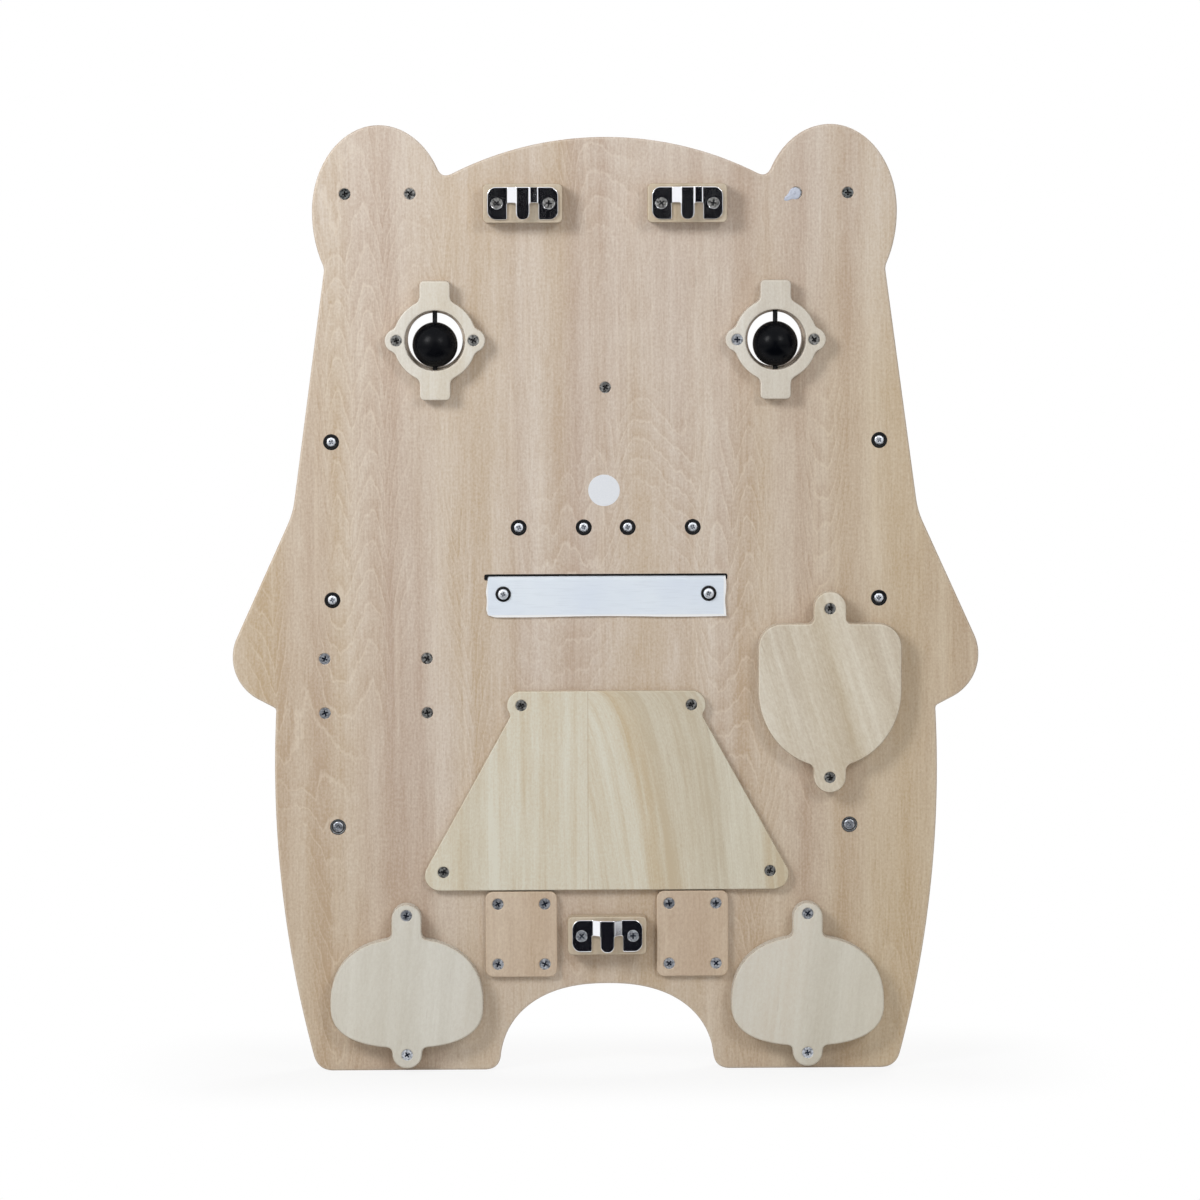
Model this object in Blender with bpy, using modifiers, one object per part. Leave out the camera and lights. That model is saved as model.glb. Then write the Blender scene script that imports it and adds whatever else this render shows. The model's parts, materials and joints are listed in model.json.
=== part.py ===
"""A wooden activity board in the outline of a bear, made to hang on a wall.

The frame is metres, +Z up. The play side faces -Y and the rear faces +Y.
The origin lies on the wall, midway between the two upper hangers.
Sizes below are taken from the board's own corner: x from its middle line,
z from the floor of its feet, and depth from its rear face.
"""

import math

import bmesh
import bpy
from mathutils import Vector
from mathutils.geometry import intersect_line_line_2d

# General clearances
SEAT_GAP = 0.0003
RUNNING_GAP = 0.0004
OVERRUN = 0.002
WELD = 0.00001

# Board
BOARD_HEIGHT = 0.600
BOARD_THICK = 0.015
BOARD_EDGE = 0.0015
HIP_HALF_WIDTH = 0.2102
CROWN_DROP = 0.0078
CROWN_SAG = 0.0537
EAR_HALF_WIDTH = 0.0422
EAR_RISE = 0.0545
EAR_FALL = 0.0615
CROWN_BLEND = 0.008
NECK_DROP = 0.0924
NECK_REACH = 0.020
NECK_BLEND = 0.003
SHOULDER_BLEND = 0.008
PAW_RADIUS = 0.0304
PAW_UNDER_ANGLE = -62.4
PAW_NOTCH_BLEND = 0.002
HIP_RADIUS = 0.676
FOOT_CORNER = 0.010
ARCH_RISE = 0.0552

# Places on the board, as shares of its half width and of its height
PLACE_SHARES = {
    "ear": (0.6746, 0),
    "neck": (0.8416, 0),
    "shoulder": (0.9401, 0.5937),
    "paw": (0.9800, 0.4413),
    "hip": (1, 0.3183),
    "hanger": (0.2455, 0.9180),
    "eye": (0.5095, 0.7750),
    "nose": (0, 0.7248),
    "mouth": (0, 0.5775),
    "cloth_slot": (0, 0.5250),
    "side_wire": (0.8230, 0.5017),
    "acorn": (0.6722, 0.4058),
    "latch": (0.6936, 0.4107),
    "cover_top": (0, 0.4050),
    "cover_bottom": (0, 0.1933),
    "wheel_left": (-0.7350, 0.2608),
    "wheel_right": (0.8111, 0.2608),
}
PLACES = {name: (x * HIP_HALF_WIDTH, z * BOARD_HEIGHT) for name, (x, z) in PLACE_SHARES.items()}

# Screws: countersunk wood screws and pan head machine screws
CSK_RADIUS = 0.0041
CSK_DEPTH = 0.0024
CSK_SHANK_RADIUS = 0.0018
WELL_RADIUS = 0.0051
WELL_DEPTH = 0.0030
WELL_SHANK_RADIUS = 0.0018
SOCKET_DEPTH = 0.0080

# Hangers on the rear
HANGER_X, HANGER_Z = PLACES["hanger"]
BLOCK_WIDTH = 0.0500
BLOCK_HEIGHT = 0.0245
BLOCK_THICK = 0.0120
BLOCK_CORNER = 0.0030
BLOCK_EDGE = 0.0010
PLATE_WIDTH = 0.0446
PLATE_HEIGHT = 0.0204
PLATE_CORNER = 0.0040
SHEET = 0.0012
BRIDGE_RISE = 0.0046
BRIDGE_WIDTH = 0.0196
BRIDGE_SLOPE = 0.0022
BRIDGE_HEIGHT = 0.0100
BEND_RADIUS = 0.0012
TONGUE_WIDTH = 0.0084
TONGUE_ROUND = 0.0040
PLATE_SCREW_INSET = 0.0060

# Eyes
EYE_X, EYE_Z = PLACES["eye"]
EYE_HOLE_RADIUS = 0.0173
BEZEL_THICK = 0.0090
BEZEL_EDGE = 0.0012
BEZEL_HOLE_RADIUS = 0.0188
BEZEL_RADIUS = 0.0264
BEZEL_LUG_X = 0.0242
BEZEL_LUG_RADIUS = 0.0075
BEZEL_LUG_BLEND = 0.0030
BEZEL_TAB_WIDTH = 0.0186
BEZEL_HEIGHT = 0.0750
BEZEL_TAB_CORNER = 0.0030
BEZEL_TAB_BLEND = 0.0035
BALL_RADIUS = 0.01425
AXLE_RADIUS = 0.0015
AXLE_LENGTH = 0.0660

# Tummy: the cover of the rail pocket, and the three knobs that climb in it
COVER_THICK = 0.0050
COVER_EDGE = 0.0008
COVER_TOP_Z = PLACES["cover_top"][1]
COVER_BOTTOM_Z = PLACES["cover_bottom"][1]
COVER_LOBE_X = 0.0539
COVER_LOBE_RADIUS = 0.0090
COVER_LOBE_BLEND = 0.0025
COVER_WAIST_X = 0.0600
COVER_WAIST_DROP = 0.0172
COVER_WAIST_Z = COVER_TOP_Z - COVER_WAIST_DROP
COVER_HALF_WIDTH = 0.1155
COVER_CORNER = 0.0097
COVER_SCREW_INSET = 0.0118
POCKET_LAP = 0.0110
POCKET_CORNER = 0.0060
POCKET_DEPTH = 0.0080
STEM_RADIUS = 0.0040
SLIDE_DISC_RADIUS = 0.0095
SLOT_LOW_GAP = 0.0035
SLOT_HIGH_GAP = 0.0105
SLOT_LOW_Z = COVER_BOTTOM_Z + POCKET_LAP + SLIDE_DISC_RADIUS + SLOT_LOW_GAP
SLOT_HIGH_Z = COVER_TOP_Z - POCKET_LAP - SLIDE_DISC_RADIUS - SLOT_HIGH_GAP
SLOT_LOW_X = 0.0760
SLOT_HIGH_X = 0.0400
SLIDE_DISC_THICK = 0.0040
SLIDE_KNOB_RADIUS = 0.0120
SLIDE_KNOB_HEIGHT = 0.0160
SLIDE_NECK_RADIUS = 0.0070
SLIDE_NECK_HEIGHT = 0.0030

# Dials beside the arch, each held by a thin plate on the rear
DIAL_PLATE_WIDTH = 0.0455
DIAL_PLATE_HEIGHT = 0.0548
DIAL_PLATE_GAP = 0.0008
DIAL_BLOCK_GAP = 0.00665
DIAL_FOOT_GAP = 0.00155
DIAL_PLATE_CORNER = 0.0050
DIAL_PLATE_THICK = 0.0040
DIAL_SCREW_X = 0.0149
DIAL_SCREW_Z = 0.0193
DIAL_RADIUS = 0.0180
DIAL_LOBE_DEPTH = 0.0024
DIAL_LOBES = 6
DIAL_HEIGHT = 0.0140
DIAL_EDGE = 0.0025
DIAL_STEM_RADIUS = 0.0070
DIAL_DISC_RADIUS = 0.0160
DIAL_DISC_THICK = 0.0045
DIAL_POCKET_DEPTH = 0.0060
DIAL_X = BLOCK_WIDTH / 2 + DIAL_BLOCK_GAP + DIAL_PLATE_WIDTH / 2
DIAL_Z = COVER_BOTTOM_Z - DIAL_PLATE_GAP - DIAL_PLATE_HEIGHT / 2

# Feet: a cover on the rear and a soft pad that shows through the board
FOOT_HALF_WIDTH = 0.0486
FOOT_ARCH_GAP = 0.0095
FOOT_CLEAR = 0.0032
FOOT_RISE = 0.0426
FOOT_FALL = 0.0276
FOOT_TAB_RADIUS = 0.0095
FOOT_TAB_TOP = 0.0642
FOOT_TAB_BOTTOM = 0.0408
FOOT_TAB_BLEND = 0.0040
FOOT_SCREW_TOP = 0.0572
FOOT_SCREW_BOTTOM = 0.0320
FOOT_COVER_THICK = 0.0120
FOOT_COVER_EDGE = 0.0012
FOOT_LAP = 0.0115
FOOT_RECESS_LAP = 0.0060
FOOT_RECESS_DEPTH = 0.0060
PAD_FLANGE_THICK = 0.0048
PAD_ROUND = 0.0050
PAD_PROUD = 0.0020
FOOT_X = DIAL_X + DIAL_PLATE_WIDTH / 2 + DIAL_FOOT_GAP + FOOT_HALF_WIDTH
FOOT_Z = FOOT_CLEAR + FOOT_TAB_BOTTOM
ARCH_HALF_WIDTH = FOOT_X - FOOT_HALF_WIDTH - FOOT_ARCH_GAP

# Paw: an acorn shaped cover with a mirror behind the board's opening
ACORN_X, ACORN_Z = PLACES["acorn"]
ACORN_HALF_WIDTH = 0.0453
ACORN_RISE = 0.0421
ACORN_CORNER = 0.0150
ACORN_FALL = 0.0490
ACORN_TAB_RADIUS = 0.01025
ACORN_TAB_TOP = 0.0625
ACORN_TAB_BOTTOM = 0.0651
ACORN_TAB_BLEND = 0.0040
ACORN_SCREW_TOP = 0.0517
ACORN_SCREW_BOTTOM = 0.0555
ACORN_COVER_THICK = 0.0120
ACORN_LAP = 0.0110
MIRROR_LAP = 0.0060
MIRROR_THICK = 0.0030

# Ears and nose on the play side
EAR_SCREW_LIFT = 0.0114
EAR_SCREW_INSETS = {"left": (-0.0212, 0.0112), "right": (-0.0194, 0.0215)}
EAR_PAD_HALF_WIDTH = 0.0280
EAR_PAD_RISE = 0.0350
EAR_PAD_FALL = 0.0400
EAR_PAD_THICK = 0.0080
EAR_PAD_EDGE = 0.0025
NOSE_Z = PLACES["nose"][1]
NOSE_HALF_WIDTH = 0.0340
NOSE_RISE = 0.0190
NOSE_FALL = 0.0270
NOSE_THICK = 0.0140
NOSE_EDGE = 0.0045

# Bead wires on the play side
SIDE_WIRE_X, SIDE_WIRE_LOW_Z = PLACES["side_wire"]
SIDE_WIRE_SPAN = 0.1000
SIDE_WIRE_RADIUS = 0.0025
SIDE_WIRE_STAND = 0.0340
SIDE_WIRE_BEND = 0.0120
SIDE_BEAD_RADIUS = 0.0140
MOUTH_Z = PLACES["mouth"][1]
MOUTH_INNER_X = 0.0139
MOUTH_OUTER_X = 0.0550
MOUTH_WIRE_RADIUS = 0.0020
MOUTH_WIRE_STAND = 0.0220
MOUTH_WIRE_BEND = 0.0065
MOUTH_BEAD_RADIUS = 0.0085
MOUTH_BEAD_LENGTH = 0.0120
MOUTH_BEAD_ROUND = 0.0030

# Neckerchief: one cloth, screwed on at the rear and hung through a slot
CLOTH_THICK = 0.0012
CLOTH_HALF_WIDTH = 0.0758
CLOTH_SLOT_HALF_WIDTH = 0.0770
CLOTH_SLOT_Z = PLACES["cloth_slot"][1]
CLOTH_SLOT_HEIGHT = 0.0040
CLOTH_TAIL = 0.0250
CLOTH_TURN = 0.0020
CLOTH_DROP = 0.0780
CLOTH_TIP_HALF_WIDTH = 0.0040
CLOTH_FOLD_DEPTH = 0.0042
CLOTH_FOLDS = 4
CLOTH_TAPER = 1.3
CLOTH_COLUMNS = 18
CLOTH_ROWS = 7

# Spinning wheels and their pivots
WHEEL_RADII = {"left": 0.0380, "right": 0.0330}
WHEEL_LOBES = {"left": 8, "right": 6}
WHEEL_LOBE_DEPTH = 0.0060
WHEEL_THICK = 0.0100
WHEEL_STAND = 0.0010
WHEEL_EDGE = 0.0020
WHEEL_DIMPLE_RADIUS = 0.0060
WHEEL_DIMPLE_DEPTH = 0.0025
WHEEL_DIMPLES = 4
PIVOT_SLEEVE_RADIUS = 0.0060
PIVOT_CAP_RADIUS = 0.0110
PIVOT_CAP_HEIGHT = 0.0060
PIVOT_SHANK_RADIUS = 0.0015
PIVOT_SHANK_LENGTH = 0.0240
PIVOT_HEAD_RADIUS = 0.0037
PIVOT_HEAD_HEIGHT = 0.0022

# Bolt latch on the other paw
LATCH_X, LATCH_Z = PLACES["latch"]
LATCH_WIDTH = 0.0810
LATCH_HEIGHT = 0.0500
LATCH_CORNER = 0.0060
LATCH_THICK = 0.0080
LATCH_EDGE = 0.0015
LATCH_SCREW_X = 0.0324
LATCH_SCREW_Z = 0.0173
GUIDE_WIDTH = 0.0140
GUIDE_HEIGHT = 0.0300
GUIDE_THICK = 0.0200
GUIDE_CORNER = 0.0020
GUIDE_X = 0.0290
BOLT_RADIUS = 0.0060
BOLT_TRAVEL = 0.0200
BOLT_END = 0.0015
BOLT_KNOB_RADIUS = 0.0070
BOLT_KNOB_NECK = 0.0040
BOLT_KNOB_HEIGHT = 0.0150

# Counts of facets
ARC_STEPS = 3
ROUND_STEPS = 16
BALL_STEPS = 20
HOLE_STEPS = 12
SEAT_STEPS = 8
WIRE_BEVEL_STEPS = 2
DIAL_LOBE_STEPS = 5
WHEEL_LOBE_STEPS = 6

PLAY_SIDE = (math.pi / 2, 0, 0)
REAR_SIDE = (-math.pi / 2, 0, 0)
SIDES = (("left", -1), ("right", 1))
WALL_DEPTH = SEAT_GAP + BLOCK_THICK + SEAT_GAP + BRIDGE_RISE + SHEET


def clear_scene():
    for obj in list(bpy.data.objects):
        bpy.data.objects.remove(obj, do_unlink=True)


def new_collection(name):
    collection = bpy.data.collections.new(name)
    bpy.context.scene.collection.children.link(collection)
    return collection


clear_scene()
PARTS = new_collection("bear_busy_board")
CUTTERS = new_collection("cutters")
CUTTERS.hide_render = True

FRAME = bpy.data.objects.new("board_frame", None)
FRAME.location = (0, -WALL_DEPTH, -HANGER_Z)
PARTS.objects.link(FRAME)


def material(name, colour, roughness, metallic=0.0):
    made = bpy.data.materials.new(name)
    made.use_nodes = True
    made.diffuse_color = (*colour, 1)
    shader = made.node_tree.nodes["Principled BSDF"]
    shader.inputs["Base Color"].default_value = (*colour, 1)
    shader.inputs["Roughness"].default_value = roughness
    shader.inputs["Metallic"].default_value = metallic
    return made


BOARD_WOOD = material("board_wood", (0.60, 0.46, 0.34), 0.60)
PALE_WOOD = material("pale_wood", (0.66, 0.57, 0.44), 0.55)
COVER_WOOD = material("cover_wood", (0.68, 0.55, 0.36), 0.55)
PAINTED_WOOD = material("painted_wood", (0.62, 0.36, 0.24), 0.45)
WHITE_PAINT = material("white_paint", (0.80, 0.78, 0.72), 0.45)
BLACK_BALL = material("black_ball", (0.012, 0.012, 0.013), 0.35)
BLACK_STEEL = material("black_steel", (0.015, 0.015, 0.016), 0.30, 0.8)
ZINC_STEEL = material("zinc_steel", (0.60, 0.60, 0.60), 0.25, 1.0)
MIRROR_FACE = material("mirror_face", (0.85, 0.86, 0.87), 0.03, 1.0)
WHITE_CLOTH = material("white_cloth", (0.80, 0.83, 0.88), 0.90)
SOFT_PLUSH = material("soft_plush", (0.62, 0.55, 0.46), 0.95)


# Paths and outlines, as lists of (x, z) points


def arc(centre, radii, start, end, steps):
    """Points of an elliptic arc between two angles in degrees."""
    points = []
    for step in range(steps + 1):
        angle = math.radians(start + (end - start) * step / steps)
        x = centre[0] + radii[0] * math.cos(angle)
        points.append(Vector((x, centre[1] + radii[1] * math.sin(angle))))
    return points


def line(*ends):
    return [Vector(end) for end in ends]


def shortened(points, length):
    """The path with this length taken off its end."""
    points = list(points)
    while len(points) > 1:
        last = points.pop()
        step = (points[-1] - last).length
        if step > length:
            return points + [last + (points[-1] - last) * (length / step)]
        length -= step
    return points


def crossing(first, second):
    for i in range(len(first) - 1):
        for j in range(len(second) - 1):
            point = intersect_line_line_2d(first[i], first[i + 1], second[j], second[j + 1])
            if point is not None:
                return i, j, point
    raise ValueError("two stretches of an outline don't cross")


def blended(first, second, blend, steps=ARC_STEPS):
    """Two stretches, cut where they cross, with the corner rounded over the length blend on each."""
    i, j, corner = crossing(first, second)
    before = shortened(first[: i + 1] + [corner], blend)
    after = shortened((second[j + 1 :])[::-1] + [corner], blend)[::-1]
    start, end = before[-1], after[0]
    turn = []
    for step in range(1, steps):
        t = step / steps
        turn.append(start * (1 - t) ** 2 + corner * (2 * t * (1 - t)) + end * t**2)
    return before + turn + after


def mirrored(half):
    """A half outline that starts and ends on the middle line, closed by its mirror image.

    A middle point that lies on a straight run is left out.
    """
    inner = half[1:-1]
    top = half[:1] if abs(half[0].y - half[1].y) > WELD else []
    bottom = half[-1:] if abs(half[-1].y - half[-2].y) > WELD else []
    return top + inner + bottom + [Vector((-point.x, point.y)) for point in reversed(inner)]


def quartered(quarter):
    """A quarter outline from the middle line out to the cross line, closed by its three mirror images."""
    low = [Vector((point.x, -point.y)) for point in reversed(quarter[:-1])]
    return mirrored(quarter + low)


def rounded(corners, steps=ARC_STEPS, closed=True):
    """A path through corners given as (x, z, radius), each turned by an arc of its radius."""
    path = []
    count = len(corners)
    for index, (x, z, radius) in enumerate(corners):
        corner = Vector((x, z))
        at_end = not closed and index in (0, count - 1)
        if at_end or radius <= 0:
            path.append(corner)
            continue
        before = (Vector(corners[index - 1][:2]) - corner).normalized()
        after = (Vector(corners[(index + 1) % count][:2]) - corner).normalized()
        half = before.angle(after) / 2
        reach = radius / math.tan(half)
        centre = corner + (before + after).normalized() * (radius / math.sin(half))
        start, end = corner + before * reach - centre, corner + after * reach - centre
        sweep = start.angle_signed(end)
        for step in range(steps + 1):
            turn = sweep * step / steps
            cosine, sine = math.cos(turn), math.sin(turn)
            turned_by = Vector((start.x * cosine + start.y * sine, start.y * cosine - start.x * sine))
            path.append(centre + turned_by)
    return path


def rectangle(width, height, corner, steps=ARC_STEPS):
    x, z = width / 2, height / 2
    return rounded([(-x, -z, corner), (x, -z, corner), (x, z, corner), (-x, z, corner)], steps)


def egg_half(half_width, rise, fall, steps=6):
    """Half an oval with unlike upper and lower parts."""
    upper = arc((0, 0), (half_width, rise), 90, 0, steps)
    return upper + arc((0, 0), (half_width, fall), 0, -90, steps)[1:]


def egg(half_width, rise, fall):
    return mirrored(egg_half(half_width, rise, fall))


def stadium(start, end, radius, steps=6):
    """A slot between two points, with round ends."""
    start, end = Vector(start), Vector(end)
    ahead = math.degrees(math.atan2(end.y - start.y, end.x - start.x))
    first = arc(end, (radius, radius), ahead - 90, ahead + 90, steps)
    return first + arc(start, (radius, radius), ahead + 90, ahead + 270, steps)


def tabbed(half, radius, top, bottom, blend):
    """A cover's half outline, with a round ended screw tab above and below, closed by its mirror image."""
    head = arc((0, top - radius), (radius, radius), 90, 0, ARC_STEPS) + line((radius, 0))
    foot = line((radius, 0)) + arc((0, radius - bottom), (radius, radius), 0, -90, ARC_STEPS)
    return mirrored(blended(blended(head, half, blend), foot, blend))


def lobed(radius, depth, lobes, steps_per_lobe):
    """A round outline whose edge waves in and out, once for each lobe."""
    count = lobes * steps_per_lobe
    points = []
    for step in range(count):
        angle = 2 * math.pi * step / count
        reach = radius - depth * (1 - math.cos(lobes * angle)) / 2
        points.append(Vector((reach * math.cos(angle), reach * math.sin(angle))))
    return points


def tangent_angle(point, centre, radius):
    """The angle, in degrees, at which a line from the point touches the upper outer side of a circle."""
    away = Vector(point) - Vector(centre)
    return math.degrees(math.atan2(away.y, away.x) - math.acos(radius / away.length))


# Objects


def link(obj, parent=FRAME, collection=PARTS):
    collection.objects.link(obj)
    obj.parent = parent
    return obj


def finish(obj, look, smooth=True):
    obj.data.materials.clear()
    obj.data.materials.append(look)
    if smooth:
        obj.data.shade_smooth()
        obj.data.set_sharp_from_angle(angle=math.radians(35))
    return obj


def mesh_of_curve(curve, name):
    """The curve's shape as a mesh object with welded caps, and the curve removed."""
    guide = bpy.data.objects.new(name, curve)
    bpy.context.scene.collection.objects.link(guide)
    graph = bpy.context.evaluated_depsgraph_get()
    mesh = bpy.data.meshes.new_from_object(guide.evaluated_get(graph))
    welded = bmesh.new()
    welded.from_mesh(mesh)
    bmesh.ops.remove_doubles(welded, verts=welded.verts, dist=WELD)
    bmesh.ops.recalc_face_normals(welded, faces=welded.faces)
    welded.to_mesh(mesh)
    welded.free()
    matrix = guide.matrix_world.copy()
    bpy.data.objects.remove(guide)
    bpy.data.curves.remove(curve)
    obj = bpy.data.objects.new(name, mesh)
    obj.matrix_world = matrix
    return obj


def flat_curve(name, outline):
    curve = bpy.data.curves.new(name, "CURVE")
    curve.dimensions = "2D"
    curve.fill_mode = "BOTH"
    spline = curve.splines.new("POLY")
    spline.points.add(len(outline) - 1)
    for point, (x, z) in zip(spline.points, outline):
        point.co = (x, z, 0, 1)
    spline.use_cyclic_u = True
    return curve


def slab(name, outline, thick, at, edge=0.0, cutter=False, edge_steps=0):
    """A flat piece of this outline. at is its middle line, its near depth and its height; it grows to +Y."""
    curve = flat_curve(name, outline)
    curve.extrude = thick / 2 - edge
    if edge:
        curve.bevel_depth = edge
        curve.offset = -edge
        curve.bevel_resolution = edge_steps
    obj = mesh_of_curve(curve, name)
    obj.rotation_euler = PLAY_SIDE
    obj.location = (at[0], at[1] + thick / 2, at[2])
    if cutter:
        return as_cutter(obj)
    return link(obj)


def turned(name, profile, at, facing, closed=False, steps=ROUND_STEPS, cutter=False):
    """A solid of revolution. The profile, as (radius, height), runs from its top down its outer side."""
    mesh = bpy.data.meshes.new(name)
    made = bmesh.new()
    verts = [made.verts.new((radius, 0, height)) for radius, height in profile]
    for first, second in zip(verts, verts[1:]):
        made.edges.new((first, second))
    if closed:
        made.edges.new((verts[-1], verts[0]))
    made.to_mesh(mesh)
    made.free()
    obj = bpy.data.objects.new(name, mesh)
    screw = obj.modifiers.new("turn", "SCREW")
    screw.steps = steps
    screw.render_steps = steps
    screw.use_merge_vertices = True
    screw.merge_threshold = WELD
    screw.use_smooth_shade = True
    obj.rotation_euler = facing
    obj.location = at
    if cutter:
        return as_cutter(obj)
    return link(obj)


def as_cutter(obj):
    obj.hide_render = True
    obj.display_type = "WIRE"
    return link(obj, collection=CUTTERS)


def boolean(obj, other, operation="DIFFERENCE"):
    """Cuts or joins the other object, which becomes a hidden helper."""
    if other.name not in CUTTERS.objects:
        PARTS.objects.unlink(other)
        as_cutter(other)
    step = obj.modifiers.new(other.name, "BOOLEAN")
    step.operation = operation
    step.object = other
    return obj


def drill(obj, name, radius, deep_from, deep_to, x, z, steps=HOLE_STEPS):
    """A round hole along Y between two depths, which it runs past by the overrun."""
    low, high = deep_from - OVERRUN, deep_to + OVERRUN
    profile = [(0, high), (radius, high), (radius, low), (0, low)]
    return boolean(obj, turned(name, profile, (x, 0, z), REAR_SIDE, steps=steps, cutter=True))


def countersink(obj, x, z, surface):
    """The seat of a countersunk screw in a surface that faces the rear."""
    profile = [
        (0, OVERRUN),
        (CSK_RADIUS, OVERRUN),
        (CSK_RADIUS, 0),
        (CSK_SHANK_RADIUS, -CSK_DEPTH),
        (0, -CSK_DEPTH),
    ]
    name = f"{obj.name}_seat_{len(obj.modifiers)}"
    return boolean(obj, turned(name, profile, (x, surface, z), REAR_SIDE, steps=SEAT_STEPS, cutter=True))


def screw_well(obj, x, z):
    """The round well in the rear face that a machine screw's head sits in."""
    profile = [(0, OVERRUN), (WELL_RADIUS, OVERRUN), (WELL_RADIUS, -WELL_DEPTH), (0, -WELL_DEPTH)]
    name = f"{obj.name}_well_{len(obj.modifiers)}"
    return boolean(obj, turned(name, profile, (x, 0, z), REAR_SIDE, steps=HOLE_STEPS, cutter=True))


def leg_socket(obj, x, z, leg_radius):
    """The blind hole in the play side that takes a wire's leg."""
    radius = leg_radius + SEAT_GAP
    low, high = -BOARD_THICK - OVERRUN, SOCKET_DEPTH - BOARD_THICK
    profile = [(0, high), (radius, high), (radius, low), (0, low)]
    name = f"{obj.name}_socket_{len(obj.modifiers)}"
    return boolean(obj, turned(name, profile, (x, 0, z), REAR_SIDE, steps=SEAT_STEPS, cutter=True))


def bored_ball(radius, bore, steps=8):
    """Profile of a ball with a hole along its axis."""
    top = math.degrees(math.acos(bore / radius))
    return [tuple(point) for point in arc((0, 0), (radius, radius), top, -top, steps)]


# Outlines of the pieces


def ear_centre():
    return PLACES["ear"][0], BOARD_HEIGHT - EAR_RISE


def board_half():
    """Half of the bear's outline, from the top of its head to the top of the arch between its feet."""
    crown_z = BOARD_HEIGHT - CROWN_DROP
    ear = ear_centre()
    crown_radius = (ear[0] ** 2 + CROWN_SAG**2) / (2 * CROWN_SAG)
    crown_end = 90 - math.degrees(math.asin(ear[0] / crown_radius))
    crown = arc((0, crown_z - crown_radius), (crown_radius, crown_radius), 90, crown_end, 8)
    ear_top = arc(ear, (EAR_HALF_WIDTH, EAR_RISE), 185, 0, 14)
    ear_low = arc(ear, (EAR_HALF_WIDTH, EAR_FALL), 0, -80, 5)
    neck = Vector((PLACES["neck"][0], BOARD_HEIGHT - NECK_DROP))
    shoulder = Vector(PLACES["shoulder"])
    up = (neck - shoulder).normalized() * NECK_REACH
    paw = PLACES["paw"]
    touch = tangent_angle(shoulder, paw, PAW_RADIUS)
    paw_arc = arc(paw, (PAW_RADIUS, PAW_RADIUS), touch, PAW_UNDER_ANGLE, 8)
    arm_start = shoulder + (shoulder - paw_arc[0]).normalized() * NECK_REACH
    under = math.radians(PAW_UNDER_ANGLE)
    paw_end = paw_arc[-1] + Vector((math.sin(under), -math.cos(under))) * PAW_RADIUS
    hip_z = PLACES["hip"][1]
    waist = (HIP_HALF_WIDTH - HIP_RADIUS, hip_z)
    hip_top = math.degrees(math.asin((paw[1] - hip_z) / HIP_RADIUS))
    hip_low = -math.degrees(math.asin((hip_z + NECK_REACH) / HIP_RADIUS))
    hip = arc(waist, (HIP_RADIUS, HIP_RADIUS), hip_top, hip_low, 8)
    floor = line((HIP_HALF_WIDTH, 0), (0, 0))
    arch = arc((0, 0), (ARCH_HALF_WIDTH, ARCH_RISE), -10, 90, 10)
    half = blended(crown, ear_top + ear_low[1:], CROWN_BLEND, 4)
    half = blended(half, [neck + up, shoulder - up], NECK_BLEND, 3)
    half = blended(half, [arm_start] + paw_arc + [paw_end], SHOULDER_BLEND, 3)
    half = blended(half, hip, PAW_NOTCH_BLEND, 3)
    half = blended(half, floor, FOOT_CORNER, 4)
    return blended(half, arch, FOOT_CORNER, 4)


def bezel_outline():
    side, top = BEZEL_TAB_WIDTH / 2, BEZEL_HEIGHT / 2
    tab = rounded([(0, top, 0), (side, top, BEZEL_TAB_CORNER), (side, 0, 0)], closed=False)
    ring = arc((0, 0), (BEZEL_RADIUS, BEZEL_RADIUS), 90, 0, 10)
    lug = arc((BEZEL_LUG_X, 0), (BEZEL_LUG_RADIUS, BEZEL_LUG_RADIUS), 150, 0, 6)
    return quartered(blended(blended(tab, ring, BEZEL_TAB_BLEND), lug, BEZEL_LUG_BLEND))


def cover_corner():
    return (COVER_HALF_WIDTH - COVER_CORNER, COVER_BOTTOM_Z + COVER_CORNER)


def cover_slant():
    """The angle at which the tummy cover's side leaves its bottom corner, in degrees."""
    return tangent_angle((COVER_WAIST_X, COVER_WAIST_Z), cover_corner(), COVER_CORNER)


def cover_half():
    """Half of the tummy cover: a trapezoid with round lobes at its upper corners."""
    top = line((0, COVER_TOP_Z)) + arc(
        (COVER_LOBE_X, COVER_TOP_Z - COVER_LOBE_RADIUS), (COVER_LOBE_RADIUS, COVER_LOBE_RADIUS), 90, -80, 10
    )
    corner = arc(cover_corner(), (COVER_CORNER, COVER_CORNER), cover_slant(), -90, 6)
    waist = Vector((COVER_WAIST_X, COVER_WAIST_Z))
    side = [waist + (waist - corner[0]).normalized() * COVER_LOBE_RADIUS] + corner
    return blended(top, side, COVER_LOBE_BLEND, 4) + line((0, COVER_BOTTOM_Z))


def pocket_outline():
    """The rail pocket: the cover's trapezoid, drawn in by its lap."""
    slant = math.radians(cover_slant())
    corners = []
    for z in (COVER_BOTTOM_Z + POCKET_LAP, COVER_TOP_Z - POCKET_LAP):
        x = COVER_WAIST_X + (COVER_WAIST_Z - z) * math.tan(slant) - POCKET_LAP / math.cos(slant)
        corners.append((x, z))
    (low_x, low_z), (high_x, high_z) = corners
    return rounded(
        [
            (-low_x, low_z, POCKET_CORNER),
            (low_x, low_z, POCKET_CORNER),
            (high_x, high_z, POCKET_CORNER),
            (-high_x, high_z, POCKET_CORNER),
        ],
        4,
    )


def foot_half(inset=0.0):
    return egg_half(FOOT_HALF_WIDTH - inset, FOOT_RISE - inset, FOOT_FALL - inset)


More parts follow.
